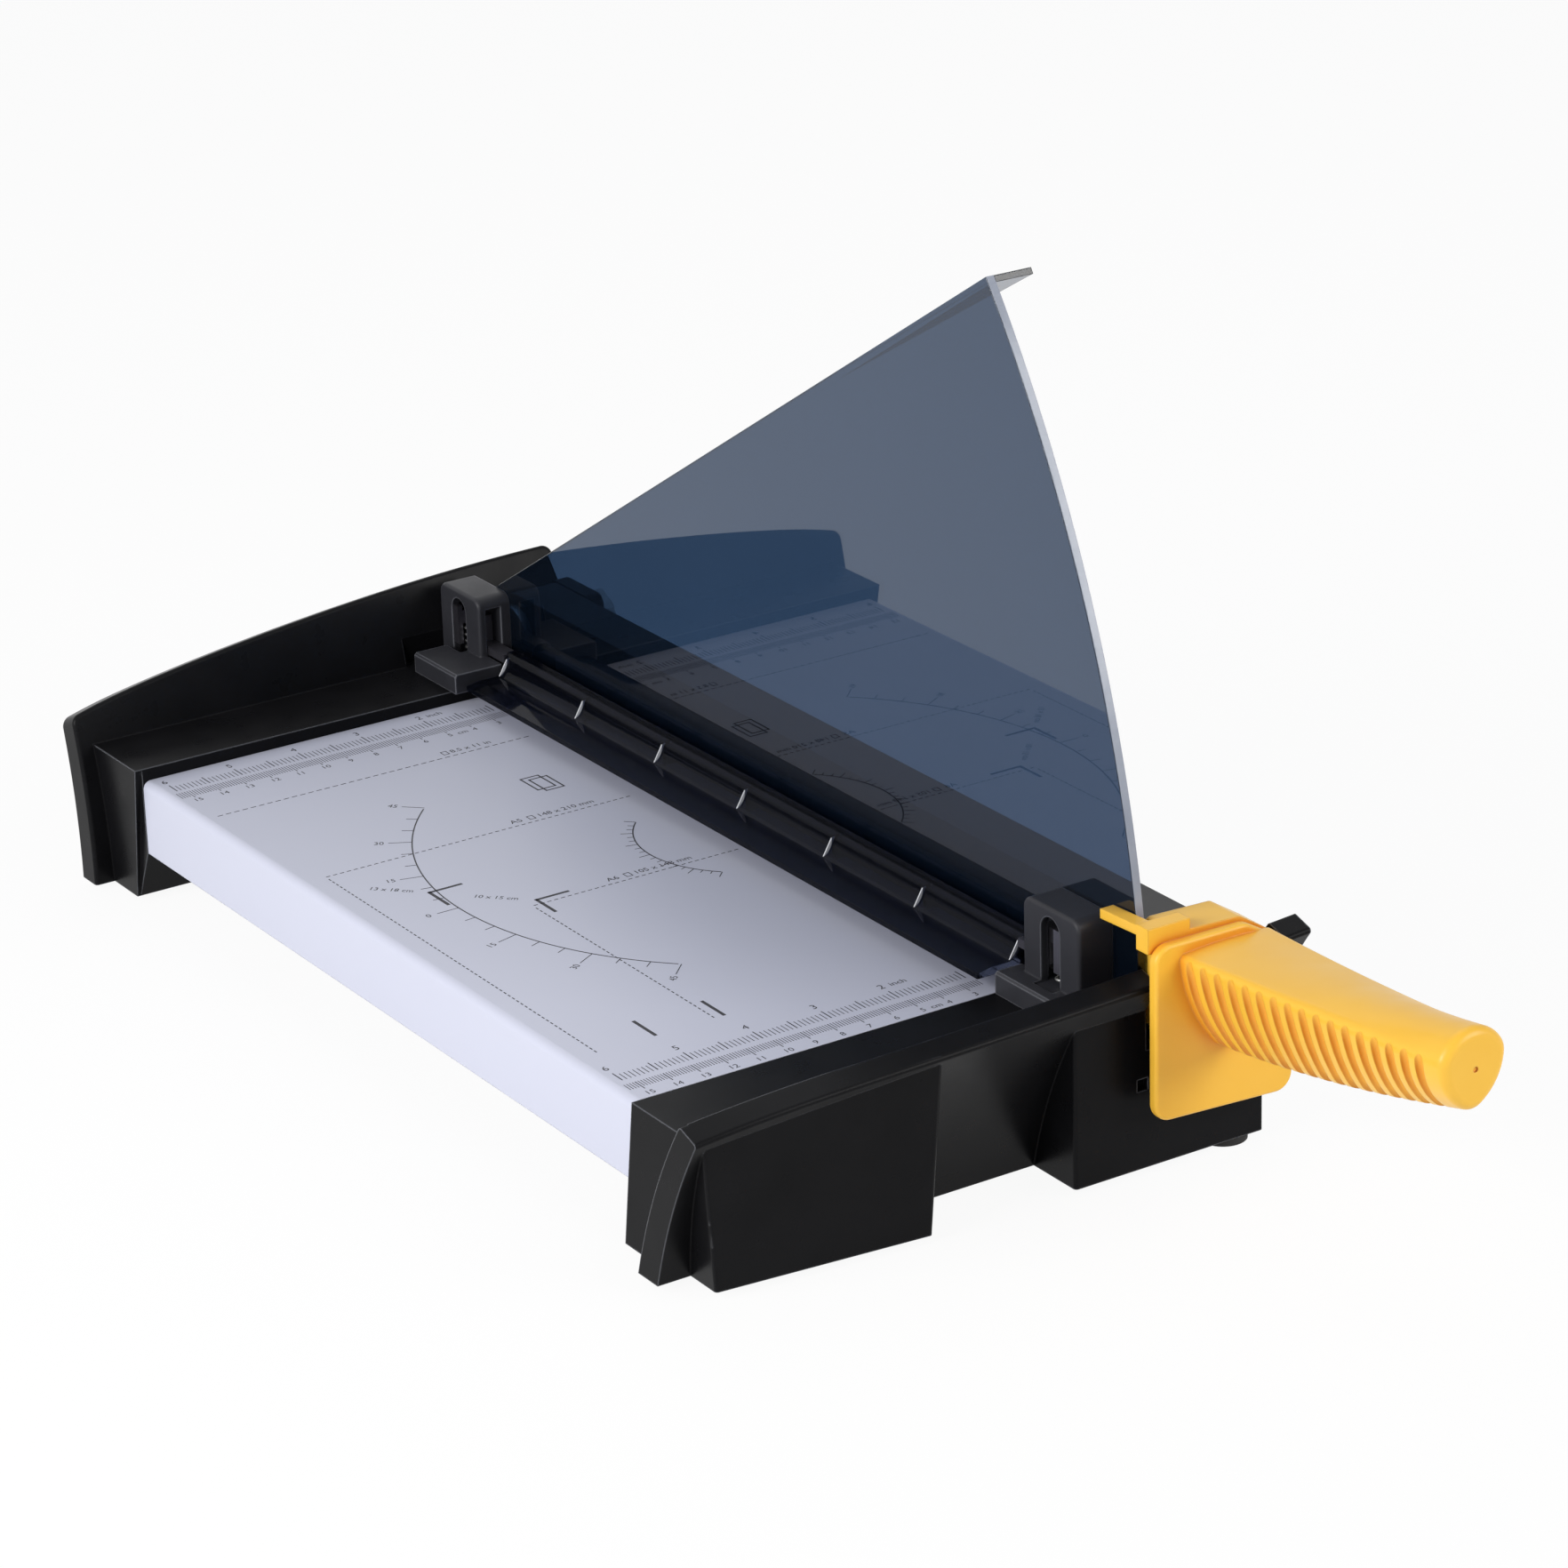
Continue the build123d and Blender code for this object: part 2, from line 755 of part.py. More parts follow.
def guide_pillars():
    low = bed_height + well_floor - pillar_seat
    rods = [rod("z", pillar_radius, (pillar_x, y, low), pillar_length()) for y in pillar_ys()]
    return Compound(children=rods)


def clamp_ends():
    return (clamp_front_gap, board_length - clamp_back_gap)


def clamp_outline():
    base = bed_height + lift_base
    y = clamp_ends()[0]
    flange = base + clamp_flange
    rise = clamp_cove_top - clamp_flange
    run = clamp_cove_end - clamp_cove_start
    cove_mid = (clamp_cove_start + run * clamp_cove_shares[0], y, flange + rise * clamp_cove_shares[1])
    cove_start = (clamp_cove_start, y, flange)
    cove_end = (clamp_cove_end, y, base + clamp_cove_top)
    low_side = [(clamp_cove_start, y, flange), (clamp_left + clamp_bevel, y, flange)]
    low_side += [(clamp_left, y, base + clamp_edge), (clamp_left, y, base), (clamp_right, y, base)]
    high_side = [(clamp_right, y, base + clamp_crest - clamp_shoulder)]
    crest = base + clamp_crest
    high_side += [(clamp_right - clamp_shoulder, y, crest), (clamp_crest_left, y, crest)]
    line = Polyline(low_side + high_side + [cove_end])
    return make_face([line, ThreePointArc(cove_start, cove_mid, cove_end)])


def clamp_bar():
    # Flange with a hollow crest; ribs close the hollow at both ends and between
    start, end = clamp_ends()
    outer = extrude(clamp_outline(), amount=end - start, dir=(0, 1, 0))
    roof = bed_height + lift_base + clamp_crest - clamp_skin
    hollow_xs = (clamp_crest_left, clamp_right - clamp_skin)
    bar = outer - block(hollow_xs, (start, end), (0, roof))
    for y in spread(start, end - clamp_rib, clamp_rib_count):
        bar += block(hollow_xs, (y, y + clamp_rib), (bed_height + lift_base, roof))
    return bar


def clamp_lug(side, fence_y, near, bar_end):
    xs = (cavity_left + lug_side_gap, cavity_right - lug_side_gap)

    def out(distance):
        return fence_y + side * distance

    arm = block(xs, (bar_end, out(near + lug_web_far)), (bed_height + lug_arm_low, bed_height + lug_arm_high))
    web = block(
        xs,
        (out(near + lug_web_near), out(near + lug_web_far)),
        (bed_height + lug_arm_low, bed_height + lug_top),
    )
    head = block(
        xs,
        (out(near + lug_web_near), out(near + lug_far)),
        (bed_height + lug_shoulder, bed_height + lug_top),
    )
    shoe_ys = (out(near + shoe_near), out(near + lug_far))
    shoe_left = tower_left + lug_side_gap
    shoe = block((shoe_left, shoe_right), shoe_ys, (bed_height + lug_arm_low, bed_height + shoe_top))
    shoe += block((shoe_left, xs[1]), shoe_ys, (bed_height + lug_shoulder, bed_height + lug_top))
    start = (pillar_x, out(near + pillar_in), bed_height)
    return arm + web + head + shoe - rod("z", pillar_radius + pillar_running_gap, start, far_reach)


def front_clamp_lug():
    return clamp_lug(-1, 0, front_tower_near, clamp_ends()[0])


def back_clamp_lug():
    return clamp_lug(1, back_fence, back_tower_near, clamp_ends()[1])


def lift_spring(y):
    height = lug_shoulder - well_floor - spring_wire_radius - spring_wire_radius
    path = Helix(pitch=height / spring_turns, height=height, radius=spring_radius)
    start = Plane(origin=path @ 0, z_dir=path % 0)
    coil = sweep(start * Circle(spring_wire_radius), path=path)
    return Pos(pillar_x, y, bed_height + well_floor + spring_wire_radius) * coil


def front_clamp_spring():
    return lift_spring(pillar_ys()[0])


def back_clamp_spring():
    return lift_spring(pillar_ys()[1])


def guard_screw_places():
    spots = [(y, height) for y, height in guard_front_screws]
    spots += [(back_fence + out, height) for out, height in guard_back_screws]
    return [Pos(guard_right, y, bed_height + height) * Rot(0, 90, 0) for y, height in spots]


def guard_screw_length():
    return guard_right - guard_left + skin


def guard_screw_holes():
    down = (Align.CENTER, Align.CENTER, Align.MAX)
    radius = m3_radius + fastener_gap
    length = guard_screw_length() + fit_gap
    return [place * Cylinder(radius, length, align=down) for place in guard_screw_places()]


def guard_screws():
    sizes = (m3_radius, m3_head_radius, m3_head_height, guard_screw_length())
    return Compound(children=[pan_screw(place, *sizes) for place in guard_screw_places()])


def guard():
    heel_y = back_fence + guard_heel_out
    nose = (guard_left, guard_nose_y, bed_height + guard_nose_height)
    tip = (guard_left, guard_tip_y, bed_height + guard_tip_height)
    arc_mid = (guard_left, guard_arc_mid_y, bed_height + guard_arc_mid_height)
    heel = (guard_left, heel_y, bed_height + guard_heel_height)
    heel_low = (guard_left, heel_y, bed_height + guard_low)
    nose_low = (guard_left, guard_nose_y, bed_height + guard_low)
    edges = [ThreePointArc(nose, arc_mid, tip), Line(tip, heel), Line(heel, heel_low)]
    edges += [Line(heel_low, nose_low), Line(nose_low, nose)]
    plate = slab_along_x(edges, guard_right - guard_left)
    plate += guard_lip(tip, heel)
    for hole in guard_screw_holes():
        plate -= hole
    return plate


def guard_lip(tip, heel):
    # Lip over the arm at the top front corner, narrowing towards the pivot
    along = (Vector(*heel) - Vector(*tip)).normalized()
    down = Vector(0, along.Z, -along.Y)
    start = Vector(*tip)
    wide = guard_right - guard_left + guard_lip_width
    far = start + along * guard_lip_length
    corners = [start, start + Vector(wide, 0, 0), far + Vector(guard_right - guard_left, 0, 0), far]
    face = make_face(Polyline([tuple(corner) for corner in corners], close=True))
    return extrude(face, amount=guard_lip_thickness, dir=tuple(down))


def blade_arm():
    low = bed_height + arm_low
    top = pivot_z + arm_end_radius
    arm = block((arm_left, arm_right), (arm_front, pivot_y), (low, top))
    arm += rod("x", arm_end_radius, (arm_left, pivot_y, pivot_z), arm_width)
    hollow_ys = (arm_front, arm_front + (pivot_y - arm_front) * arm_hollow_share)
    hollow_xs = (arm_left + arm_skin, arm_right - arm_skin)
    arm -= block(hollow_xs, hollow_ys, (low + arm_skin, top - arm_skin))
    arm -= rod("x", bush_radius, (arm_left, pivot_y, pivot_z), arm_width)
    down = (Align.CENTER, Align.CENTER, Align.MAX)
    for place in upper_screw_places():
        arm -= place * Cylinder(m3_radius + fastener_gap, m3_length + fit_gap, align=down)
    for place in handle_screw_places():
        arm -= place * Cylinder(m4_radius + fastener_gap, handle_screw_length() + fit_gap, align=down)
    return arm


def buffer_peg(gap):
    place = ((arm_left + arm_right) / 2, (buffer_front + buffer_back) / 2)
    floor = bed_height - gap_floor_drop
    start = (*place, floor - buffer_peg_length - gap)
    return rod("z", peg_radius + gap, start, buffer_peg_length + gap)


def arm_buffer():
    xs = (arm_left + buffer_inset, arm_right - buffer_inset)
    zs = (bed_height - gap_floor_drop, bed_height + arm_low - buffer_gap)
    return block(xs, (buffer_front, buffer_back), zs) + buffer_peg(0)


def pivot_bush():
    bush = rod("x", bush_radius, (arm_left, pivot_y, pivot_z), arm_width)
    return bush - rod("x", bolt_radius + bolt_running_gap, (arm_left, pivot_y, pivot_z), arm_width)


def upper_screw_places():
    ys = spread(*[board_length * share for share in upper_screw_shares], upper_screw_count)
    z = bed_height + upper_screw_height
    return [Pos(blade_gap, y, z) * Rot(0, -90, 0) for y in ys]


def upper_blade():
    x = blade_gap
    top = bed_height + blade_top
    back = board_length - blade_back_gap
    middle = (blade_front + back) / 2
    corners = [(x, blade_front, top), (x, blade_front, bed_height - blade_depth_front)]
    corners += [(x, back, bed_height - blade_depth_back), (x, back, top)]
    edges = [Line(corners[0], corners[1])]
    edges += [ThreePointArc(corners[1], (x, middle, bed_height - blade_depth_mid), corners[2])]
    edges += [Line(corners[2], corners[3]), Line(corners[3], corners[0])]
    blade = slab_along_x(edges, blade_thickness)
    down = (Align.CENTER, Align.CENTER, Align.MAX)
    for place in upper_screw_places():
        blade -= place * Cone(
            m3_radius + fastener_gap, m3_head_radius + fastener_gap, m3_head_height, align=down
        )
        blade -= place * Cylinder(m3_radius + fastener_gap, m3_length, align=down)
    return blade


def upper_blade_screws():
    sizes = (m3_radius, m3_head_radius, m3_head_height, m3_length)
    return Compound(children=[flush_screw(place, *sizes) for place in upper_screw_places()])


def pivot_bolt():
    head_left = arm_left - pivot_play - bolt_head_height
    head = rod("x", bolt_head_radius, (head_left, pivot_y, pivot_z), bolt_head_height)
    tail = bracket_left + bracket_thickness + washer_height + nut_height + bolt_tail
    slot = block(
        (head_left, head_left + bolt_head_height * slot_depth_share),
        (pivot_y - bolt_head_radius, pivot_y + bolt_head_radius),
        (pivot_z - bolt_radius * slot_share, pivot_z + bolt_radius * slot_share),
    )
    return head + rod("x", bolt_radius, (head_left, pivot_y, pivot_z), tail - head_left) - slot


def ring(start_x, height, radius):
    place = (start_x, pivot_y, pivot_z)
    return rod("x", radius, place, height) - rod("x", bolt_radius + fastener_gap, place, height)


def spring_washer():
    return ring(arm_right + pivot_play, spring_washer_height, washer_radius)


def flat_washer():
    return ring(bracket_left + bracket_thickness, washer_height, washer_radius)


def pivot_nut():
    start = bracket_left + bracket_thickness + washer_height
    place = Pos(start, pivot_y, pivot_z) * Rot(0, 90, 0)
    nut = place * extrude(RegularPolygon(nut_radius, 6), amount=nut_height)
    return nut - rod("x", bolt_radius + fastener_gap, (start, pivot_y, pivot_z), nut_height)


def pivot_bracket():
    right = bracket_left + bracket_thickness
    ys = (back_fence + bracket_near, back_fence + bracket_far)
    plate = block((bracket_left, right), ys, (trough_floor, bed_height + bracket_top))
    upper = plate.edges().filter_by(Axis.X).group_by(Axis.Z)[-1]
    plate = fillet(upper, tower_round)
    foot_ys = (ys[0] - bracket_foot_length, ys[1])
    foot_xs = (bracket_left, right + bracket_foot_width - fit_gap)
    plate += block(foot_xs, foot_ys, (trough_floor, trough_floor + bracket_foot_height))
    plate -= rod("x", bolt_radius + fastener_gap, (bracket_left, pivot_y, pivot_z), bracket_thickness)
    for hole in bracket_screw_holes():
        plate -= hole
    return plate


def bracket_screw_places():
    x = bracket_left + (bracket_thickness + bracket_foot_width) / 2
    near = back_fence + bracket_near
    ys = [near - bracket_foot_length * share for share in bracket_screw_shares]
    return [Pos(x, y, trough_floor + bracket_foot_height) for y in ys]


def bracket_screw_holes():
    down = (Align.CENTER, Align.CENTER, Align.MAX)
    radius = m4_radius + fastener_gap
    return [place * Cylinder(radius, m4_length + fit_gap, align=down) for place in bracket_screw_places()]


def bracket_screws():
    sizes = (m4_radius, m4_head_radius, m4_head_height, m4_length)
    return Compound(children=[pan_screw(place, *sizes) for place in bracket_screw_places()])


def along_grip(values, y):
    # Value at y on the smooth curve through the grip's three sections
    total = 0
    for value, own in zip(values, grip_ys):
        weight = 1
        for other in grip_ys:
            if other != own:
                weight *= (y - other) / (own - other)
        total += value * weight
    return total


def grip_sides(y):
    # Left and right side of the section at y, from the top edge down to the keel
    height = bed_height + along_grip(grip_heights, y)
    mid_height = bed_height + along_grip(grip_mid_heights, y)
    keel = (grip_center_x, y, bed_height + along_grip(grip_bottoms, y))
    sides = []
    for side in (-1, 1):
        edge = (grip_center_x + side * along_grip(grip_halves, y), y, height)
        middle = (grip_center_x + side * along_grip(grip_mid_halves, y), y, mid_height)
        sides.append(ThreePointArc(edge, middle, keel))
    return sides


def grip_section(y):
    left, right = grip_sides(y)
    top = (grip_center_x, y, bed_height + along_grip(grip_crowns, y))
    face = make_face([left, ThreePointArc(left @ 0, top, right @ 0), right])
    keel = face.vertices().sort_by(Axis.Z)[0]
    face = fillet(keel, along_grip(grip_low_rounds, y))
    middle = bed_height + along_grip(grip_mid_heights, y)
    edges = [corner for corner in face.vertices() if corner.Z > middle]
    return fillet(edges, along_grip(grip_top_rounds, y))


def grooves():
    # Finger grooves down both sides and round the keel, running out below the top edges
    cuts = []
    out = Vector(groove_run_out, 0, 0)
    for y in spread(groove_first_y, groove_last_y, groove_count):
        left, right = grip_sides(y)
        keel = Vector(grip_center_x, y, grip_section(y).bounding_box().min.Z)
        points = [left @ groove_end_share - out]
        points += [left @ share for share in groove_shares]
        points += [keel]
        points += [right @ share for share in reversed(groove_shares)]
        points += [right @ groove_end_share + out]
        path = Spline(*points)
        cuts.append(sweep(Plane(origin=path @ 0, z_dir=path % 0) * Circle(groove_radius), path=path))
    return cuts


def handle_screw_places():
    z = pivot_z
    return [Pos(socket_outline[-1][0], handle_screw_y, z) * Rot(0, 90, 0)]


def handle_screw_length():
    return socket_outline[-1][0] - arm_right + m4_length / 2


def handle():
    body = outline_along_y(plate_outline, plate_front, plate_front + plate_thickness, plate_round)
    sides = body.faces().sort_by(Axis.Y)
    body = fillet(sides[0].edges() + sides[-1].edges(), edge_round)
    body += outline_along_y(socket_outline, plate_front + plate_thickness, socket_back, skin)
    tongue_xs = (tongue_left, guard_left - tongue_gap)
    root_y = plate_front + plate_thickness
    points = [(tongue_back, tongue_low), (tongue_back, tongue_high)]
    points += [(root_y, tongue_high + tongue_root_rise), (root_y, tongue_low + tongue_root_rise)]
    edges = Polyline([(tongue_xs[0], y, bed_height + z) for y, z in points], close=True)
    body += slab_along_x(edges, tongue_xs[1] - tongue_xs[0])
    bridge_zs = (bed_height + bridge_low, bed_height + tongue_high + tongue_root_rise)
    body += block((tongue_left, bridge_right), (root_y, bridge_back), bridge_zs)
    grip = loft([grip_section(y) for y in grip_ys])
    end_face = grip.faces().sort_by(Axis.Y)[0]
    grip = fillet(end_face.edges(), grip_end_round)
    gate_z = bed_height + (grip_crowns[-1] + grip_bottoms[-1]) / 2
    gate = rod("y", gate_radius, (grip_center_x, grip_ys[-1], gate_z), gate_depth)
    grip -= grooves() + [gate]
    body += grip
    arm_zs = (bed_height + arm_low - fit_gap, pivot_z + arm_end_radius + fit_gap)
    arm_xs = (arm_left - fit_gap, arm_right + fit_gap)
    body -= block(arm_xs, (arm_front - fit_gap, pivot_y), arm_zs)
    down = (Align.CENTER, Align.CENTER, Align.MAX)
    for place in handle_screw_places():
        body -= place * Cylinder(m4_radius + fastener_gap, far_reach, align=down)
    return body


def handle_screws():
    sizes = (m4_radius, m4_head_radius, m4_head_height, handle_screw_length())
    return Compound(children=[pan_screw(place, *sizes) for place in handle_screw_places()])


makers = (
    base_board,
    front_end_cap,
    back_end_cap,
    bed_rail,
    lower_blade,
    lower_blade_screws,
    bed_trough,
    trough_screws,
    frame_screws,
    rubber_feet,
    front_tower,
    back_tower,
    tower_screws,
    guide_pillars,
    front_clamp_spring,
    back_clamp_spring,
    guard,
    guard_screws,
    arm_buffer,
    pivot_bracket,
    bracket_screws,
    pivot_bolt,
    spring_washer,
    flat_washer,
    pivot_nut,
    clamp_bar,
    front_clamp_lug,
    back_clamp_lug,
    blade_arm,
    pivot_bush,
    upper_blade,
    upper_blade_screws,
    handle,
    handle_screws,
)

# Everything is moved so that the origin is under the middle of the whole object
os.makedirs("parts", exist_ok=True)
shapes = {maker.__name__: maker() for maker in makers}
boxes = [shape.bounding_box() for shape in shapes.values()]
middle_x = (min(box.min.X for box in boxes) + max(box.max.X for box in boxes)) / 2
middle_y = (min(box.min.Y for box in boxes) + max(box.max.Y for box in boxes)) / 2
for name, shape in shapes.items():
    export_step(Pos(-middle_x, -middle_y, 0) * shape, os.path.join("parts", name + ".step"))
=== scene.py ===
import math

import bpy
from mathutils import Matrix, Vector


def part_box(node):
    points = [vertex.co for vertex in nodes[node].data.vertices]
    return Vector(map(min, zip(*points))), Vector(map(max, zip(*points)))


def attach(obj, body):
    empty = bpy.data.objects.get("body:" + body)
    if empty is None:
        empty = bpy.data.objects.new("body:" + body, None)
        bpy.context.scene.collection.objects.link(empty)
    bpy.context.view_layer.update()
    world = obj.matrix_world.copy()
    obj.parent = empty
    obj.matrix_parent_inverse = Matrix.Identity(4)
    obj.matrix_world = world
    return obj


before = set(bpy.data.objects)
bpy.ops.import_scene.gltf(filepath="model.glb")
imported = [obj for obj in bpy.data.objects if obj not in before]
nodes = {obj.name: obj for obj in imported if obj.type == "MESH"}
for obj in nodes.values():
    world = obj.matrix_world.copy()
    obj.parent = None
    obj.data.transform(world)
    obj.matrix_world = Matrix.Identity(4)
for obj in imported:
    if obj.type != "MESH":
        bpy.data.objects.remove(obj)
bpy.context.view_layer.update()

# Working places in millimetres: X from the cut line, Y from the front fence, Z from the bed
MM = 0.001
BOARD_PLAY = 0.2
CUT_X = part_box("lower_blade")[1].x
FENCE_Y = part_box("base_board")[0].y - BOARD_PLAY * MM
BED_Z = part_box("base_board")[1].z


def place(x, y, z):
    return Vector((CUT_X + x * MM, FENCE_Y + y * MM, BED_Z + z * MM))


# Modelling helpers
SAME_POINT = 0.000001


def pick_only(piece):
    if bpy.context.object and bpy.context.object.mode != "OBJECT":
        bpy.ops.object.mode_set(mode="OBJECT")
    bpy.ops.object.select_all(action="DESELECT")
    piece.select_set(True)
    bpy.context.view_layer.objects.active = piece


def settle(piece):
    pick_only(piece)
    bpy.ops.object.transform_apply(location=True, rotation=True, scale=True)
    return piece


def slab(name, low, high):
    bpy.ops.object.select_all(action="DESELECT")
    bpy.ops.mesh.primitive_cube_add(size=1, location=(low + high) / 2)
    piece = bpy.context.object
    piece.name = name
    piece.scale = high - low
    return settle(piece)


def flat(across, along, middle, turn=(0, 0, 0)):
    bpy.ops.object.select_all(action="DESELECT")
    bpy.ops.mesh.primitive_plane_add(size=1, location=(0, 0, 0), rotation=turn)
    piece = bpy.context.object
    piece.scale = (across * MM, along * MM, 1)
    settle(piece)
    piece.location = middle
    return settle(piece)


def spun(piece, steps, angle, center, axis):
    bpy.ops.object.mode_set(mode="EDIT")
    bpy.ops.mesh.select_all(action="SELECT")
    bpy.ops.mesh.spin(steps=steps, angle=angle, center=center, axis=axis)
    bpy.ops.mesh.select_all(action="SELECT")
    bpy.ops.mesh.remove_doubles(threshold=SAME_POINT)
    bpy.ops.mesh.normals_make_consistent(inside=False)
    bpy.ops.object.mode_set(mode="OBJECT")
    return piece


def finish_with(piece, kind, **settings):
    pick_only(piece)
    step = piece.modifiers.new(kind.lower(), kind)
    for key, value in settings.items():
        setattr(step, key, value)
    bpy.ops.object.modifier_apply(modifier=step.name)
    return piece


def row(piece, count, step):
    return finish_with(
        piece,
        "ARRAY",
        count=count,
        use_relative_offset=False,
        use_constant_offset=True,
        constant_offset_displace=step * MM,
    )


def merge(name, pieces):
    pick_only(pieces[0])
    for piece in pieces:
        piece.select_set(True)
    bpy.ops.object.join()
    joined = bpy.context.object
    joined.name = name
    return joined


# Printing on the board
INK_LOW, INK_HIGH = 0.01, 0.05
DASH_WIDTH = 0.4
PHOTO_TYPE, SMALL_TYPE, NOTE_TYPE, NAME_TYPE, INCH_TYPE = 3.4, 3.6, 3.8, 4.0, 4.4
LETTER_STEPS = 3


def ink_bar(x0, x1, y0, y1):
    return slab("ink", place(x0, y0, INK_LOW), place(x1, y1, INK_HIGH))


def tick_row(first_x, count, pitch, y0, y1, width):
    bar = ink_bar(first_x - width / 2, first_x + width / 2, min(y0, y1), max(y0, y1))
    return row(bar, count, Vector((pitch, 0, 0)))


def dashes_across(x0, x1, y, dash, pitch):
    bar = ink_bar(x0, x0 + dash, y - DASH_WIDTH / 2, y + DASH_WIDTH / 2)
    return row(bar, int((x1 - x0) / pitch), Vector((pitch, 0, 0)))


def dashes_along(x, y0, y1, dash, pitch):
    bar = ink_bar(x - DASH_WIDTH / 2, x + DASH_WIDTH / 2, y0, y0 + dash)
    return row(bar, int((y1 - y0) / pitch), Vector((0, pitch, 0)))


def lettering(text, x, y, size, turn=0.0):
    bpy.ops.object.select_all(action="DESELECT")
    bpy.ops.object.text_add(location=place(x, y, INK_LOW), rotation=(0, 0, math.radians(turn)))
    words = bpy.context.object
    words.data.body = text
    words.data.size = size * MM
    words.data.align_x = "CENTER"
    words.data.align_y = "CENTER"
    words.data.extrude = (INK_HIGH - INK_LOW) * MM / 2
    words.data.resolution_u = LETTER_STEPS
    pick_only(words)
    bpy.ops.object.convert(target="MESH")
    return settle(bpy.context.object)


ARC_HALF_ANGLE, ARC_STEPS = 44.5, 60
ARC_WIDTH, ARC_TICK_WIDTH = 0.45, 0.3
ARC_DIGIT_GAP = 3.2


def arc_line(center_x, center_y, radius):
    # A thin upright strip, spun round the protractor's centre
    upright = (math.radians(90), 0, 0)
    strip = flat(ARC_WIDTH, INK_HIGH - INK_LOW, (radius * MM, 0, 0), upright)
    strip.rotation_euler = (0, 0, math.radians(180 - ARC_HALF_ANGLE))
    settle(strip)
    strip.location = place(center_x, center_y, (INK_LOW + INK_HIGH) / 2)
    settle(strip)
    sweep = -math.radians(ARC_HALF_ANGLE * 2)
    return spun(strip, ARC_STEPS, sweep, place(center_x, center_y, 0), (0, 0, 1))


def arc_tick(center_x, center_y, radius, angle, length):
    tick = slab(
        "ink",
        Vector((-(radius + length) * MM, -ARC_TICK_WIDTH / 2 * MM, INK_LOW * MM)),
        Vector((-radius * MM, ARC_TICK_WIDTH / 2 * MM, INK_HIGH * MM)),
    )
    tick.rotation_euler = (0, 0, math.radians(angle))
    tick.location = place(center_x, center_y, 0)
    return settle(tick)


def protractor(center_x, center_y, radius, short, long, digits):
    marks = [arc_line(center_x, center_y, radius)]
    for angle in range(-45, 50, 5):
        long_one = angle % 15 == 0
        marks.append(arc_tick(center_x, center_y, radius, angle, long if long_one else short))
        if long_one and digits:
            reach = radius + long + ARC_DIGIT_GAP
            x = center_x - reach * math.cos(math.radians(angle))
            y = center_y - reach * math.sin(math.radians(angle))
            marks.append(lettering(str(abs(angle)), x, y, SMALL_TYPE, angle))
    return marks


INCH = 25.4
MM_START, MM_TICKS, MM_TICK_WIDTH = -154.0, 131, 0.22
CM_START, CM_TICKS, CM_TICK_WIDTH = -150.0, 13, 0.3
INCH_START = -6 * INCH
SIXTEENTHS, SIXTEENTH_WIDTH = 81, 0.25
HALVES, HALF_WIDTH = 11, 0.35
CM_WORD_X, INCH_WORD_X = -45.0, -44.6


def ruler(cm_digit_y, cm_band, cm_long_y, inch_band, inch_long_y, inch_digit_y):
    marks = [
        tick_row(MM_START, MM_TICKS, 1.0, *cm_band, MM_TICK_WIDTH),
        tick_row(CM_START, CM_TICKS, 10.0, cm_band[0], cm_long_y, CM_TICK_WIDTH),
        tick_row(INCH_START, SIXTEENTHS, INCH / 16, *inch_band, SIXTEENTH_WIDTH),
        tick_row(INCH_START, HALVES, INCH / 2, inch_band[0], inch_long_y, HALF_WIDTH),
    ]
    for number in range(3, 16):
        marks.append(lettering(str(number), -10.0 * number, cm_digit_y, SMALL_TYPE))
    marks.append(lettering("cm", CM_WORD_X, cm_digit_y, SMALL_TYPE))
    for number in range(2, 7):
        marks.append(lettering(str(number), -INCH * number, inch_digit_y, INCH_TYPE))
    marks.append(lettering("inch", INCH_WORD_X, inch_digit_y, NOTE_TYPE))
    return marks


def sheet_outline(x, y, width, height, line):
    return [
        ink_bar(x, x + line, y, y + height),
        ink_bar(x + width - line, x + width, y, y + height),
        ink_bar(x, x + width, y, y + line),
        ink_bar(x, x + width, y + height - line, y + height),
    ]


CORNER_LINE = 1.2
CORNER_FOOT = (36.5, 50.0)


def corner_mark(x, y, across, along):
    # A heavy corner, and a short bar below it at the front ruler
    return [
        ink_bar(x, x + across, y - CORNER_LINE, y),
        ink_bar(x, x + CORNER_LINE, y - along, y),
        ink_bar(x, x + CORNER_LINE, *CORNER_FOOT),
    ]


LETTER_LINE_Y, A5_LINE, A6_LINE = 279.4, (-148.2, 209.6), (-105.4, 147.2)
LONG_DASH, SHORT_DASH = (2.0, 3.2), (1.5, 2.6)
SHEET_LINE_START = 37.0

# Text, x, y, size and turn
SHEET_NOTES = (
    ("A5", -72.5, 213.4, NAME_TYPE, 0),
    ("148 x 210 mm", -53.0, 213.4, NOTE_TYPE, 0),
    ("A6", -72.5, 150.8, NAME_TYPE, 0),
    ("105 x 148 mm", -53.0, 150.8, NOTE_TYPE, 0),
    ("8.5 x 11 in", -50.0, 283.2, NOTE_TYPE, 0),
    ("13 x 18 cm", -136.0, 187.0, PHOTO_TYPE, -45),
    ("10 x 15 cm", -111.5, 160.5, PHOTO_TYPE, -45),
)

# Small drawn sheets: x, y, width, height and line
SHEET_SIGNS = (
    (-67.8, 211.8, 2.4, 3.2, 0.3),
    (-67.8, 149.2, 2.4, 3.2, 0.3),
    (-61.5, 281.6, 2.4, 3.2, 0.3),
    (-50.0, 231.0, 7.6, 12.6, 0.6),
    (-52.2, 233.2, 7.6, 12.6, 0.6),
)


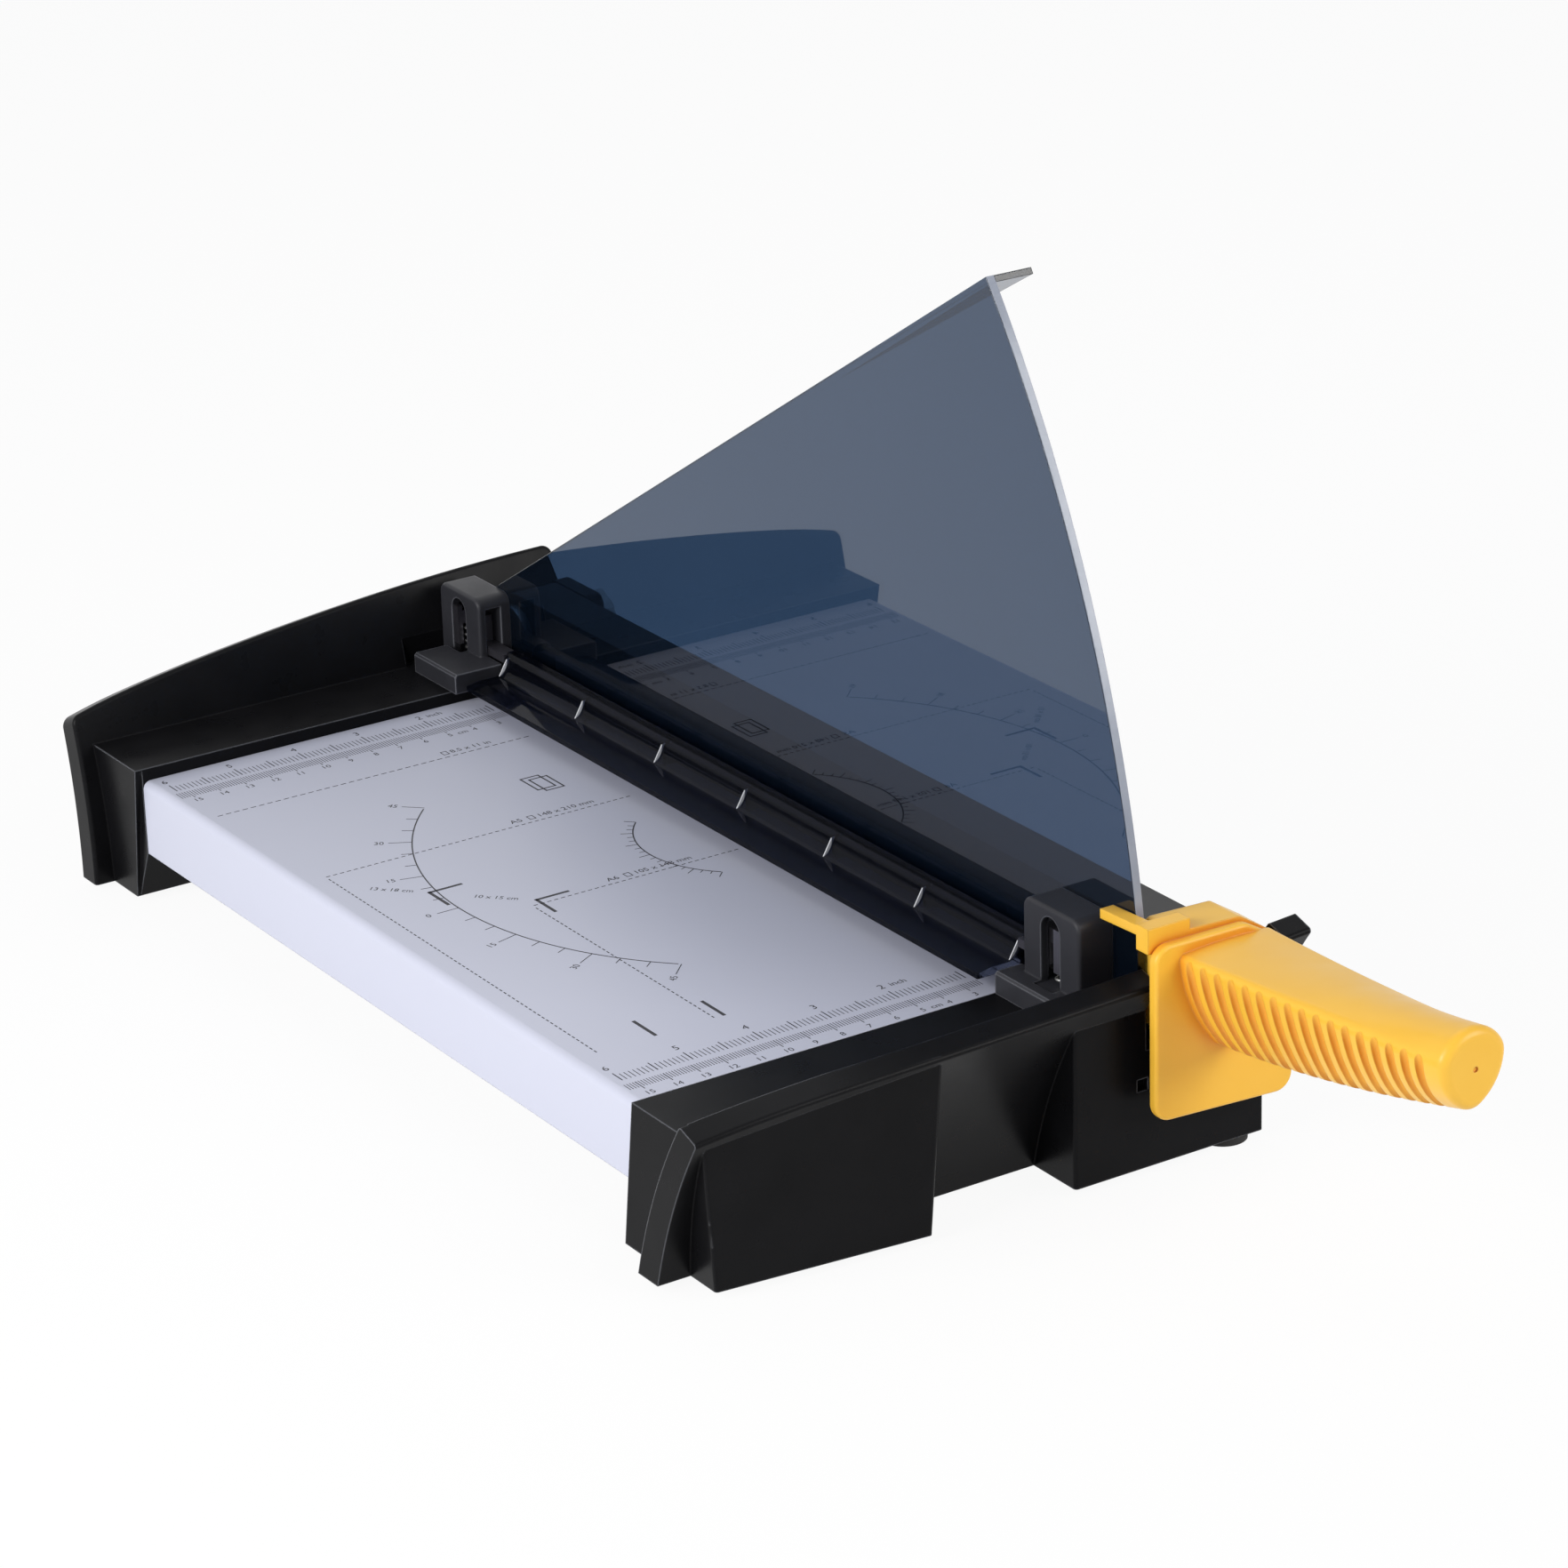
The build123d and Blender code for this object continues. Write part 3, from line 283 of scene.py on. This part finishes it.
def board_printing():
    marks = ruler(
        cm_digit_y=2.9,
        cm_band=(11.8, 7.6),
        cm_long_y=6.0,
        inch_band=(15.0, 19.6),
        inch_long_y=21.0,
        inch_digit_y=25.0,
    )
    marks += ruler(
        cm_digit_y=297.2,
        cm_band=(301.2, 306.4),
        cm_long_y=299.8,
        inch_band=(308.6, 313.4),
        inch_long_y=315.0,
        inch_digit_y=318.4,
    )
    marks += protractor(-9.0, 160.5, radius=116.7, short=4.0, long=8.0, digits=True)
    marks += protractor(-13.2, 161.0, radius=38.4, short=2.2, long=4.2, digits=False)
    marks.append(dashes_across(-152.0, -26.0, LETTER_LINE_Y, *LONG_DASH))
    marks.append(dashes_across(-148.0, -26.0, A5_LINE[1], *SHORT_DASH))
    marks.append(dashes_along(A5_LINE[0], SHEET_LINE_START, 210.0, *SHORT_DASH))
    marks.append(dashes_across(-105.0, -24.0, A6_LINE[1], *SHORT_DASH))
    marks.append(dashes_along(A6_LINE[0], SHEET_LINE_START, 148.0, *SHORT_DASH))
    marks += corner_mark(-127.6, 178.0, across=13.0, along=13.5)
    marks += corner_mark(-102.4, 151.4, across=13.0, along=13.0)
    marks += [lettering(*note) for note in SHEET_NOTES]
    for sign in SHEET_SIGNS:
        marks += sheet_outline(*sign)
    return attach(merge("board_printing", marks), "base")


# Small pale pieces on the clamp and the guard, painted highlights
WEB_EDGE = ((-17.1, 8.2), (-13.7, 14.0))
WEB_DEPTH, WEB_WIDTH = 1.7, 0.35
WEB_INSET = 1.0
RIB_COUNT = 7


def clamp_rib_edges():
    # One thin pale web across the cove of the clamp bar, then repeated at each rib: painted highlights
    # for the light catching the rib edges
    low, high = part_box("clamp_bar")
    (x0, z0), (x1, z1) = WEB_EDGE
    first = (low.y - FENCE_Y) / MM + WEB_INSET
    last = (high.y - FENCE_Y) / MM - WEB_INSET
    web = flat(WEB_DEPTH, WEB_WIDTH, place(x0 + WEB_DEPTH / 2, first, z0))
    bpy.ops.object.mode_set(mode="EDIT")
    bpy.ops.mesh.select_all(action="SELECT")
    step = Vector((x1 - x0, 0, z1 - z0)) * MM
    bpy.ops.mesh.extrude_region_move(TRANSFORM_OT_translate={"value": step})
    bpy.ops.mesh.select_all(action="SELECT")
    bpy.ops.mesh.normals_make_consistent(inside=False)
    bpy.ops.object.mode_set(mode="OBJECT")
    web = row(web, RIB_COUNT, Vector((0, (last - first) / (RIB_COUNT - 1), 0)))
    web.name = "clamp_rib_edges"
    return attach(web, "clamp")


# Y and Z of three points on the guard's curved front edge
GUARD_ARC = ((-47.3, 30.0), (-18.4, 137.2), (28.5, 222.2))
RIM_LOW_X, RIM_HIGH_X = -4.2, -1.6
RIM_THICKNESS, RIM_PROUD = 0.6, 0.02
RIM_STEPS = 48


def arc_center(points):
    (ax, ay), (bx, by), (cx, cy) = points
    d = 2 * (ax * (by - cy) + bx * (cy - ay) + cx * (ay - by))
    a, b, c = ax * ax + ay * ay, bx * bx + by * by, cx * cx + cy * cy
    x = (a * (by - cy) + b * (cy - ay) + c * (ay - by)) / d
    y = (a * (cx - bx) + b * (ax - cx) + c * (bx - ax)) / d
    return x, y


def guard_rim():
    # Pale bead along the guard's curved front edge, a painted highlight: a small flat section spun up
    # the arc
    y, z = arc_center(GUARD_ARC)
    low, high = GUARD_ARC[0], GUARD_ARC[-1]
    start = place((RIM_LOW_X + RIM_HIGH_X) / 2, low[0] - RIM_PROUD, low[1])
    bead = flat(RIM_HIGH_X - RIM_LOW_X, RIM_THICKNESS, start)
    angle = math.atan2(high[1] - z, high[0] - y) - math.atan2(low[1] - z, low[0] - y)
    spun(bead, RIM_STEPS, -angle, place(0, y, z), (1, 0, 0))
    bead.name = "guard_rim"
    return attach(bead, "base")


# Raised stiffening on the plain side walls
SUNK = 0.6
SOFT_EDGE = 0.4


def soft_bar(low, high):
    bar = slab("bar", place(*low), place(*high))
    return finish_with(bar, "BEVEL", width=SOFT_EDGE * MM, segments=2, limit_method="ANGLE")


ARM_FACE, ARM_RIB_PROUD = 20.55, 0.7
ARM_RIB_START, ARM_RIB_END = -36.0, 304.0
ARM_RIB_WIDTH = 2.6
ARM_RAILS_Z = (3.4, 26.4)
ARM_CROSS_Z, ARM_CROSS_COUNT = (3.6, 28.8), 9


def arm_side_ribs():
    # Long rails and short cross ribs on the arm's right side, sunk a little into it
    inner, outer = ARM_FACE - SUNK, ARM_FACE + ARM_RIB_PROUD
    first, last = ARM_RIB_START, ARM_RIB_END
    bars = [
        soft_bar((inner, first, z), (outer, last, z + ARM_RIB_WIDTH)) for z in ARM_RAILS_Z
    ]
    bottom, top = ARM_CROSS_Z
    cross = soft_bar((inner, first, bottom), (outer, first + ARM_RIB_WIDTH, top))
    pitch = (last - first - ARM_RIB_WIDTH) / (ARM_CROSS_COUNT - 1)
    bars.append(row(cross, ARM_CROSS_COUNT, Vector((0, pitch, 0))))
    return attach(merge("arm_side_ribs", bars), "arm")


FRAME_PROUD, FRAME_WIDTH = 0.6, 2.4
FRAME_START, FRAME_END = 8.0, 316.0
FRAME_BOTTOM, FRAME_TOP = -41.0, -13.0


def trough_side_frame():
    # Raised border round the trough's outer wall
    face = (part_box("bed_trough")[1].x - CUT_X) / MM
    inner, outer = face - SUNK, face + FRAME_PROUD
    bars = [
        soft_bar((inner, FRAME_START, z), (outer, FRAME_END, z + FRAME_WIDTH))
        for z in (FRAME_BOTTOM, FRAME_TOP - FRAME_WIDTH)
    ]
    bars += [
        soft_bar((inner, y, FRAME_BOTTOM), (outer, y + FRAME_WIDTH, FRAME_TOP))
        for y in (FRAME_START, FRAME_END - FRAME_WIDTH)
    ]
    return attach(merge("trough_side_frame", bars), "base")


LIP_LOW, LIP_HIGH = (-3.8, 1.0, -23.8), (4.4, 323.0, -21.2)


def trough_lip():
    # Closes the slit between the trough's floor and the rail, below the blades
    lip = soft_bar(LIP_LOW, LIP_HIGH)
    lip.name = "trough_lip"
    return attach(lip, "base")


# Finishes
MOTTLE_SPAN = (0.3, 0.7)
WORN_INK = 1.3


def new_finish(name):
    finish = bpy.data.materials.new(name)
    finish.use_nodes = True
    tree = finish.node_tree
    return finish, tree, tree.nodes["Principled BSDF"]


def add(tree, kind, **settings):
    node = tree.nodes.new(kind)
    for key, value in settings.items():
        if key in node.inputs:
            node.inputs[key].default_value = value
        else:
            setattr(node, key, value)
    return node


def combine(tree, operation, first, second):
    node = add(tree, "ShaderNodeMath", operation=operation)
    tree.links.new(first, node.inputs[0])
    if isinstance(second, float):
        node.inputs[1].default_value = second
    else:
        tree.links.new(second, node.inputs[1])
    return node.outputs["Value"]


def spread(tree, value, start, end, low, high):
    # Maps a value between start and end onto low to high
    node = add(tree, "ShaderNodeMapRange")
    ends = (("From Min", start), ("From Max", end), ("To Min", low), ("To Max", high))
    for key, number in ends:
        node.inputs[key].default_value = number
    tree.links.new(value, node.inputs["Value"])
    return node.outputs["Result"]


def noise(tree, scale, detail):
    node = add(tree, "ShaderNodeTexNoise", Scale=scale, Detail=detail)
    tree.links.new(add(tree, "ShaderNodeTexCoord").outputs["Object"], node.inputs["Vector"])
    return node.outputs["Fac"]


def mottle(tree, scale, detail, low, high):
    # Slow change between two values over the surface
    return spread(tree, noise(tree, scale, detail), *MOTTLE_SPAN, low, high)


def soft_edge(tree, radius):
    return add(tree, "ShaderNodeBevel", samples=6, Radius=radius).outputs["Normal"]


def grain(tree, shader, scale, depth, strength, edge):
    bump = add(tree, "ShaderNodeBump", Strength=strength, Distance=depth)
    tree.links.new(noise(tree, scale, 3.0), bump.inputs["Height"])
    tree.links.new(soft_edge(tree, edge), bump.inputs["Normal"])
    tree.links.new(bump.outputs["Normal"], shader.inputs["Normal"])


def tone_mix(tree, first, second, factor):
    mix = add(tree, "ShaderNodeMix", data_type="RGBA")
    for socket, tone in zip([s for s in mix.inputs if s.type == "RGBA"], (first, second)):
        if isinstance(tone, tuple):
            socket.default_value = (*tone, 1)
        else:
            tree.links.new(tone, socket)
    tree.links.new(factor, mix.inputs["Factor"])
    return [s for s in mix.outputs if s.type == "RGBA"][0]


def two_tone(tree, first, second, scale):
    return tone_mix(tree, first, second, mottle(tree, scale, 4.0, 0.0, 1.0))


def open_around(tree, samples, distance):
    node = add(tree, "ShaderNodeAmbientOcclusion", samples=samples, only_local=True, Distance=distance)
    return node.outputs["AO"]


def rubbed_edge(tree, radius):
    # Nearly 1 along outer edges and 0 elsewhere; it lays a painted highlight along the edges
    facing = add(tree, "ShaderNodeNewGeometry")
    turned = add(tree, "ShaderNodeVectorMath", operation="DOT_PRODUCT")
    tree.links.new(soft_edge(tree, radius), turned.inputs[0])
    tree.links.new(facing.outputs["Normal"], turned.inputs[1])
    edge = spread(tree, turned.outputs["Value"], 0.99, 0.88, 0.0, 1.0)
    outer = spread(tree, open_around(tree, 4, 0.002), 0.75, 0.98, 0.0, 1.0)
    return combine(tree, "MULTIPLY", edge, outer)


def recess(tree, distance):
    # Nearly 1 deep in grooves and inner corners, and 0 on open faces; it lays painted shade in the
    # hollows
    return spread(tree, open_around(tree, 6, distance), 0.92, 0.45, 0.0, 1.0)


def moulded_plastic(name, first, second, rough, gloss, edge, edge_highlight_tone=None, recess_shade_tone=None):
    finish, tree, shader = new_finish(name)
    tone = two_tone(tree, first, second, 40.0)
    # A darker tone mixed into grooves and inner corners is painted shade
    if recess_shade_tone:
        tone = tone_mix(tree, tone, recess_shade_tone, recess(tree, 0.008))
    # A lighter tone mixed in along outer edges is a painted highlight
    if edge_highlight_tone:
        tone = tone_mix(tree, tone, edge_highlight_tone, rubbed_edge(tree, edge))
    tree.links.new(tone, shader.inputs["Base Color"])
    tree.links.new(mottle(tree, 90.0, 4.0, *rough), shader.inputs["Roughness"])
    shader.inputs["Specular IOR Level"].default_value = gloss
    grain(tree, shader, scale=2600.0, depth=0.00004, strength=0.2, edge=edge)
    return finish


def enamel(name, first, second, rough, metallic, gloss):
    finish, tree, shader = new_finish(name)
    tree.links.new(two_tone(tree, first, second, 6.0), shader.inputs["Base Color"])
    tree.links.new(mottle(tree, 30.0, 4.0, *rough), shader.inputs["Roughness"])
    shader.inputs["Metallic"].default_value = metallic
    shader.inputs["Specular IOR Level"].default_value = gloss
    grain(tree, shader, scale=900.0, depth=0.00003, strength=0.1, edge=0.0006)
    return finish


def ground_steel(name, first, second, rough):
    # Fine grinding lines across the length of the blades
    finish, tree, shader = new_finish(name)
    stretch = add(tree, "ShaderNodeMapping")
    stretch.inputs["Scale"].default_value = (40.0, 2500.0, 40.0)
    tree.links.new(add(tree, "ShaderNodeTexCoord").outputs["Object"], stretch.inputs["Vector"])
    lines = add(tree, "ShaderNodeTexNoise", Scale=1.0, Detail=3.0)
    tree.links.new(stretch.outputs["Vector"], lines.inputs["Vector"])
    tone = tone_mix(tree, first, second, lines.outputs["Fac"])
    tree.links.new(tone, shader.inputs["Base Color"])
    shader.inputs["Metallic"].default_value = 1.0
    tree.links.new(mottle(tree, 60.0, 3.0, *rough), shader.inputs["Roughness"])
    bump = add(tree, "ShaderNodeBump", Strength=0.1, Distance=0.00003)
    tree.links.new(lines.outputs["Fac"], bump.inputs["Height"])
    tree.links.new(bump.outputs["Normal"], shader.inputs["Normal"])
    return finish


def see_through(name, first, second, rough, weight, ior):
    finish, tree, shader = new_finish(name)
    tree.links.new(two_tone(tree, first, second, 12.0), shader.inputs["Base Color"])
    shader.inputs["Transmission Weight"].default_value = weight
    shader.inputs["IOR"].default_value = ior
    tree.links.new(mottle(tree, 50.0, 3.0, *rough), shader.inputs["Roughness"])
    tree.links.new(soft_edge(tree, 0.0005), shader.inputs["Normal"])
    return finish


def ink(name, tone):
    finish, tree, shader = new_finish(name)
    worn = tuple(t * WORN_INK for t in tone)
    tree.links.new(two_tone(tree, tone, worn, 300.0), shader.inputs["Base Color"])
    shader.inputs["Roughness"].default_value = 0.6
    return finish


black_plastic = moulded_plastic(
    "satin_black_plastic",
    first=(0.0045, 0.0045, 0.0052),
    second=(0.0065, 0.0065, 0.0075),
    rough=(0.26, 0.34),
    gloss=0.07,
    edge=0.0008,
    # Painted edge highlight tone
    edge_highlight_tone=(0.13, 0.135, 0.15),
)
tower_plastic = moulded_plastic(
    "tower_plastic",
    first=(0.021, 0.0215, 0.026),
    second=(0.028, 0.0285, 0.034),
    rough=(0.36, 0.5),
    gloss=0.2,
    edge=0.0010,
    # Painted edge highlight tone
    edge_highlight_tone=(0.15, 0.155, 0.175),
)
yellow_plastic = moulded_plastic(
    "yellow_grip_plastic",
    first=(0.885, 0.495, 0.045),
    second=(0.905, 0.52, 0.055),
    rough=(0.28, 0.38),
    gloss=0.35,
    edge=0.0008,
    # Painted shade tone for the grooves and corners
    recess_shade_tone=(0.74, 0.25, 0.012),
)
silver_enamel = enamel(
    "silver_white_enamel",
    first=(0.545, 0.562, 0.668),
    second=(0.552, 0.569, 0.675),
    rough=(0.36, 0.40),
    metallic=0.06,
    gloss=0.4,
)
black_enamel = enamel(
    "black_arm_enamel",
    first=(0.008, 0.008, 0.009),
    second=(0.012, 0.012, 0.013),
    rough=(0.30, 0.42),
    metallic=0.0,
    gloss=0.2,
)
blade_steel = ground_steel(
    "ground_blade_steel",
    first=(0.55, 0.55, 0.56),
    second=(0.66, 0.66, 0.67),
    rough=(0.36, 0.40),
)
screw_steel = ground_steel(
    "zinc_screw_steel",
    first=(0.50, 0.50, 0.50),
    second=(0.62, 0.62, 0.60),
    rough=(0.30, 0.45),
)
lug_zinc = ground_steel(
    "dark_lug_zinc",
    first=(0.10, 0.10, 0.12),
    second=(0.16, 0.155, 0.18),
    rough=(0.35, 0.5),
)
bronze = ground_steel(
    "bush_bronze",
    first=(0.50, 0.34, 0.14),
    second=(0.60, 0.43, 0.20),
    rough=(0.30, 0.42),
)
rubber = moulded_plastic(
    "foot_rubber",
    first=(0.012, 0.012, 0.012),
    second=(0.02, 0.02, 0.02),
    rough=(0.65, 0.8),
    gloss=0.3,
    edge=0.0005,
)
smoked = see_through(
    "smoked_guard_plastic",
    first=(0.029, 0.059, 0.117),
    second=(0.031, 0.062, 0.122),
    rough=(0.0, 0.015),
    weight=0.94,
    ior=1.5,
)
navy_clear = see_through(
    "navy_clamp_plastic",
    first=(0.040, 0.048, 0.082),
    second=(0.048, 0.057, 0.094),
    rough=(0.02, 0.05),
    weight=0.95,
    ior=1.14,
)
# Pale finish for the clamp's painted rib highlights
rib_highlight_finish = moulded_plastic(
    "painted_rib_highlight_plastic",
    first=(0.72, 0.73, 0.78),
    second=(0.82, 0.83, 0.87),
    rough=(0.3, 0.4),
    gloss=0.5,
    edge=0.0003,
)
# Pale finish for the painted highlight along the guard's edge
rim_highlight_finish = moulded_plastic(
    "painted_rim_highlight_plastic",
    first=(0.25, 0.28, 0.35),
    second=(0.34, 0.37, 0.44),
    rough=(0.15, 0.25),
    gloss=0.5,
    edge=0.0002,
)
print_ink = ink("board_ink", (0.018, 0.018, 0.024))


def coat(piece, finish):
    piece.data.materials.clear()
    piece.data.materials.append(finish)


def dress(finish, *names):
    for name in names:
        coat(nodes[name], finish)


dress(silver_enamel, "base_board")
dress(black_plastic, "front_end_cap", "back_end_cap", "bed_trough")
dress(tower_plastic, "front_tower", "back_tower")
dress(lug_zinc, "front_clamp_lug", "back_clamp_lug")
dress(yellow_plastic, "handle")
dress(black_enamel, "blade_arm", "pivot_bracket", "bed_rail")
dress(blade_steel, "upper_blade", "lower_blade")
dress(screw_steel, "lower_blade_screws", "trough_screws", "frame_screws", "tower_screws", "guard_screws")
dress(screw_steel, "bracket_screws", "upper_blade_screws", "handle_screws", "guide_pillars")
dress(screw_steel, "front_clamp_spring", "back_clamp_spring", "pivot_bolt", "spring_washer")
dress(screw_steel, "flat_washer", "pivot_nut")
dress(bronze, "pivot_bush")
dress(rubber, "rubber_feet", "arm_buffer")
dress(smoked, "guard")
dress(navy_clear, "clamp_bar")

coat(board_printing(), print_ink)
coat(clamp_rib_edges(), rib_highlight_finish)
coat(guard_rim(), rim_highlight_finish)
coat(arm_side_ribs(), black_enamel)
coat(trough_side_frame(), black_plastic)
coat(trough_lip(), black_plastic)


# Floor, light and camera

# Share of white in the floor as the camera sees it; the rest shows the shadow
WHITE_SHARE = 0.93
FLOOR_SIZE, FLOOR_DROP = 12, 0.0005


def shown_white(tree, direct_share):
    # 1 for mirrored and refracted rays, the given share for the camera's own, and 0 for the light
    rays = add(tree, "ShaderNodeLightPath").outputs
    mirrored = combine(tree, "MAXIMUM", rays["Is Glossy Ray"], rays["Is Transmission Ray"])
    direct = combine(tree, "MULTIPLY", rays["Is Camera Ray"], direct_share)
    return combine(tree, "MAXIMUM", mirrored, direct)


def blend_white(tree, share, plain, white, output):
    blend = add(tree, "ShaderNodeMixShader")
    tree.links.new(share, blend.inputs["Fac"])
    tree.links.new(plain, blend.inputs[1])
    tree.links.new(white, blend.inputs[2])
    tree.links.new(blend.outputs["Shader"], tree.nodes[output].inputs["Surface"])


def pale_floor():
    bpy.ops.object.select_all(action="DESELECT")
    bpy.ops.mesh.primitive_plane_add(size=FLOOR_SIZE, location=(0, 0, -FLOOR_DROP))
    floor = bpy.context.object
    floor.name = "studio_floor"
    finish, tree, shader = new_finish("pale_floor")
    shader.inputs["Base Color"].default_value = (0.9, 0.9, 0.9, 1)
    shader.inputs["Roughness"].default_value = 0.9
    glow = add(tree, "ShaderNodeEmission", Strength=1.0).outputs["Emission"]
    seen = shown_white(tree, WHITE_SHARE)
    blend_white(tree, seen, shader.outputs["BSDF"], glow, "Material Output")
    floor.data.materials.append(finish)


def studio_world():
    world = bpy.data.worlds.new("studio")
    bpy.context.scene.world = world
    world.use_nodes = True
    tree = world.node_tree
    room = tree.nodes["Background"]
    room.inputs["Color"].default_value = (0.93, 0.95, 1.0, 1)
    room.inputs["Strength"].default_value = 0.3
    white = add(tree, "ShaderNodeBackground", Color=(1, 1, 1, 1), Strength=1.0)
    seen = shown_white(tree, 1.0)
    blend_white(tree, seen, room.outputs["Background"], white.outputs["Background"], "World Output")


def softbox(name, spot, target, size, power, tone):
    lamp = bpy.data.lights.new(name, "AREA")
    lamp.shape = "RECTANGLE"
    lamp.size, lamp.size_y = size
    lamp.energy = power
    lamp.color = tone
    holder = bpy.data.objects.new(name, lamp)
    bpy.context.scene.collection.objects.link(holder)
    holder.location = spot
    holder.rotation_euler = (Vector(target) - Vector(spot)).to_track_quat("-Z", "Y").to_euler()


CAMERA_LENS, CAMERA_SENSOR = 122.5, 36.0
CAMERA_SPOT = (-900.1, -1249.0, 684.2)
CAMERA_AZIMUTH, CAMERA_ELEVATION, CAMERA_ROLL = -32.62, 21.87, -1.737
CAMERA_REACH = 100


def photo_camera():
    # The camera that was fitted to the board's rulers in the photo
    lens = bpy.data.cameras.new("photo_camera")
    lens.lens = CAMERA_LENS
    lens.sensor_width = CAMERA_SENSOR
    lens.clip_end = CAMERA_REACH
    camera = bpy.data.objects.new("photo_camera", lens)
    bpy.context.scene.collection.objects.link(camera)
    azimuth, elevation = math.radians(CAMERA_AZIMUTH), math.radians(CAMERA_ELEVATION)
    roll = math.radians(CAMERA_ROLL)
    level = math.cos(elevation)
    back = Vector((math.sin(azimuth) * level, -math.cos(azimuth) * level, math.sin(elevation)))
    right = Vector((math.cos(azimuth), math.sin(azimuth), 0))
    up = back.cross(right)
    across = right * math.cos(roll) + up * math.sin(roll)
    upward = up * math.cos(roll) - right * math.sin(roll)
    turn = Matrix((across, upward, back)).transposed().to_4x4()
    camera.matrix_world = Matrix.Translation(place(*CAMERA_SPOT)) @ turn
    bpy.context.scene.camera = camera


pale_floor()
studio_world()
softbox(
    "left_softbox",
    spot=(-1.2, -0.15, 0.62),
    target=(-0.05, 0, 0.03),
    size=(0.8, 0.7),
    power=16,
    tone=(1, 0.99, 0.98),
)
softbox(
    "top_softbox",
    spot=(0.5, 0.9, 1.7),
    target=(0, 0, 0.05),
    size=(1.2, 1.2),
    power=4,
    tone=(0.96, 0.98, 1),
)
softbox(
    "front_softbox",
    spot=(0.8, -1.3, 0.75),
    target=(0.08, -0.25, 0.08),
    size=(0.9, 0.9),
    power=13,
    tone=(1, 0.99, 0.97),
)
photo_camera()
bpy.context.scene.view_settings.view_transform = "Standard"
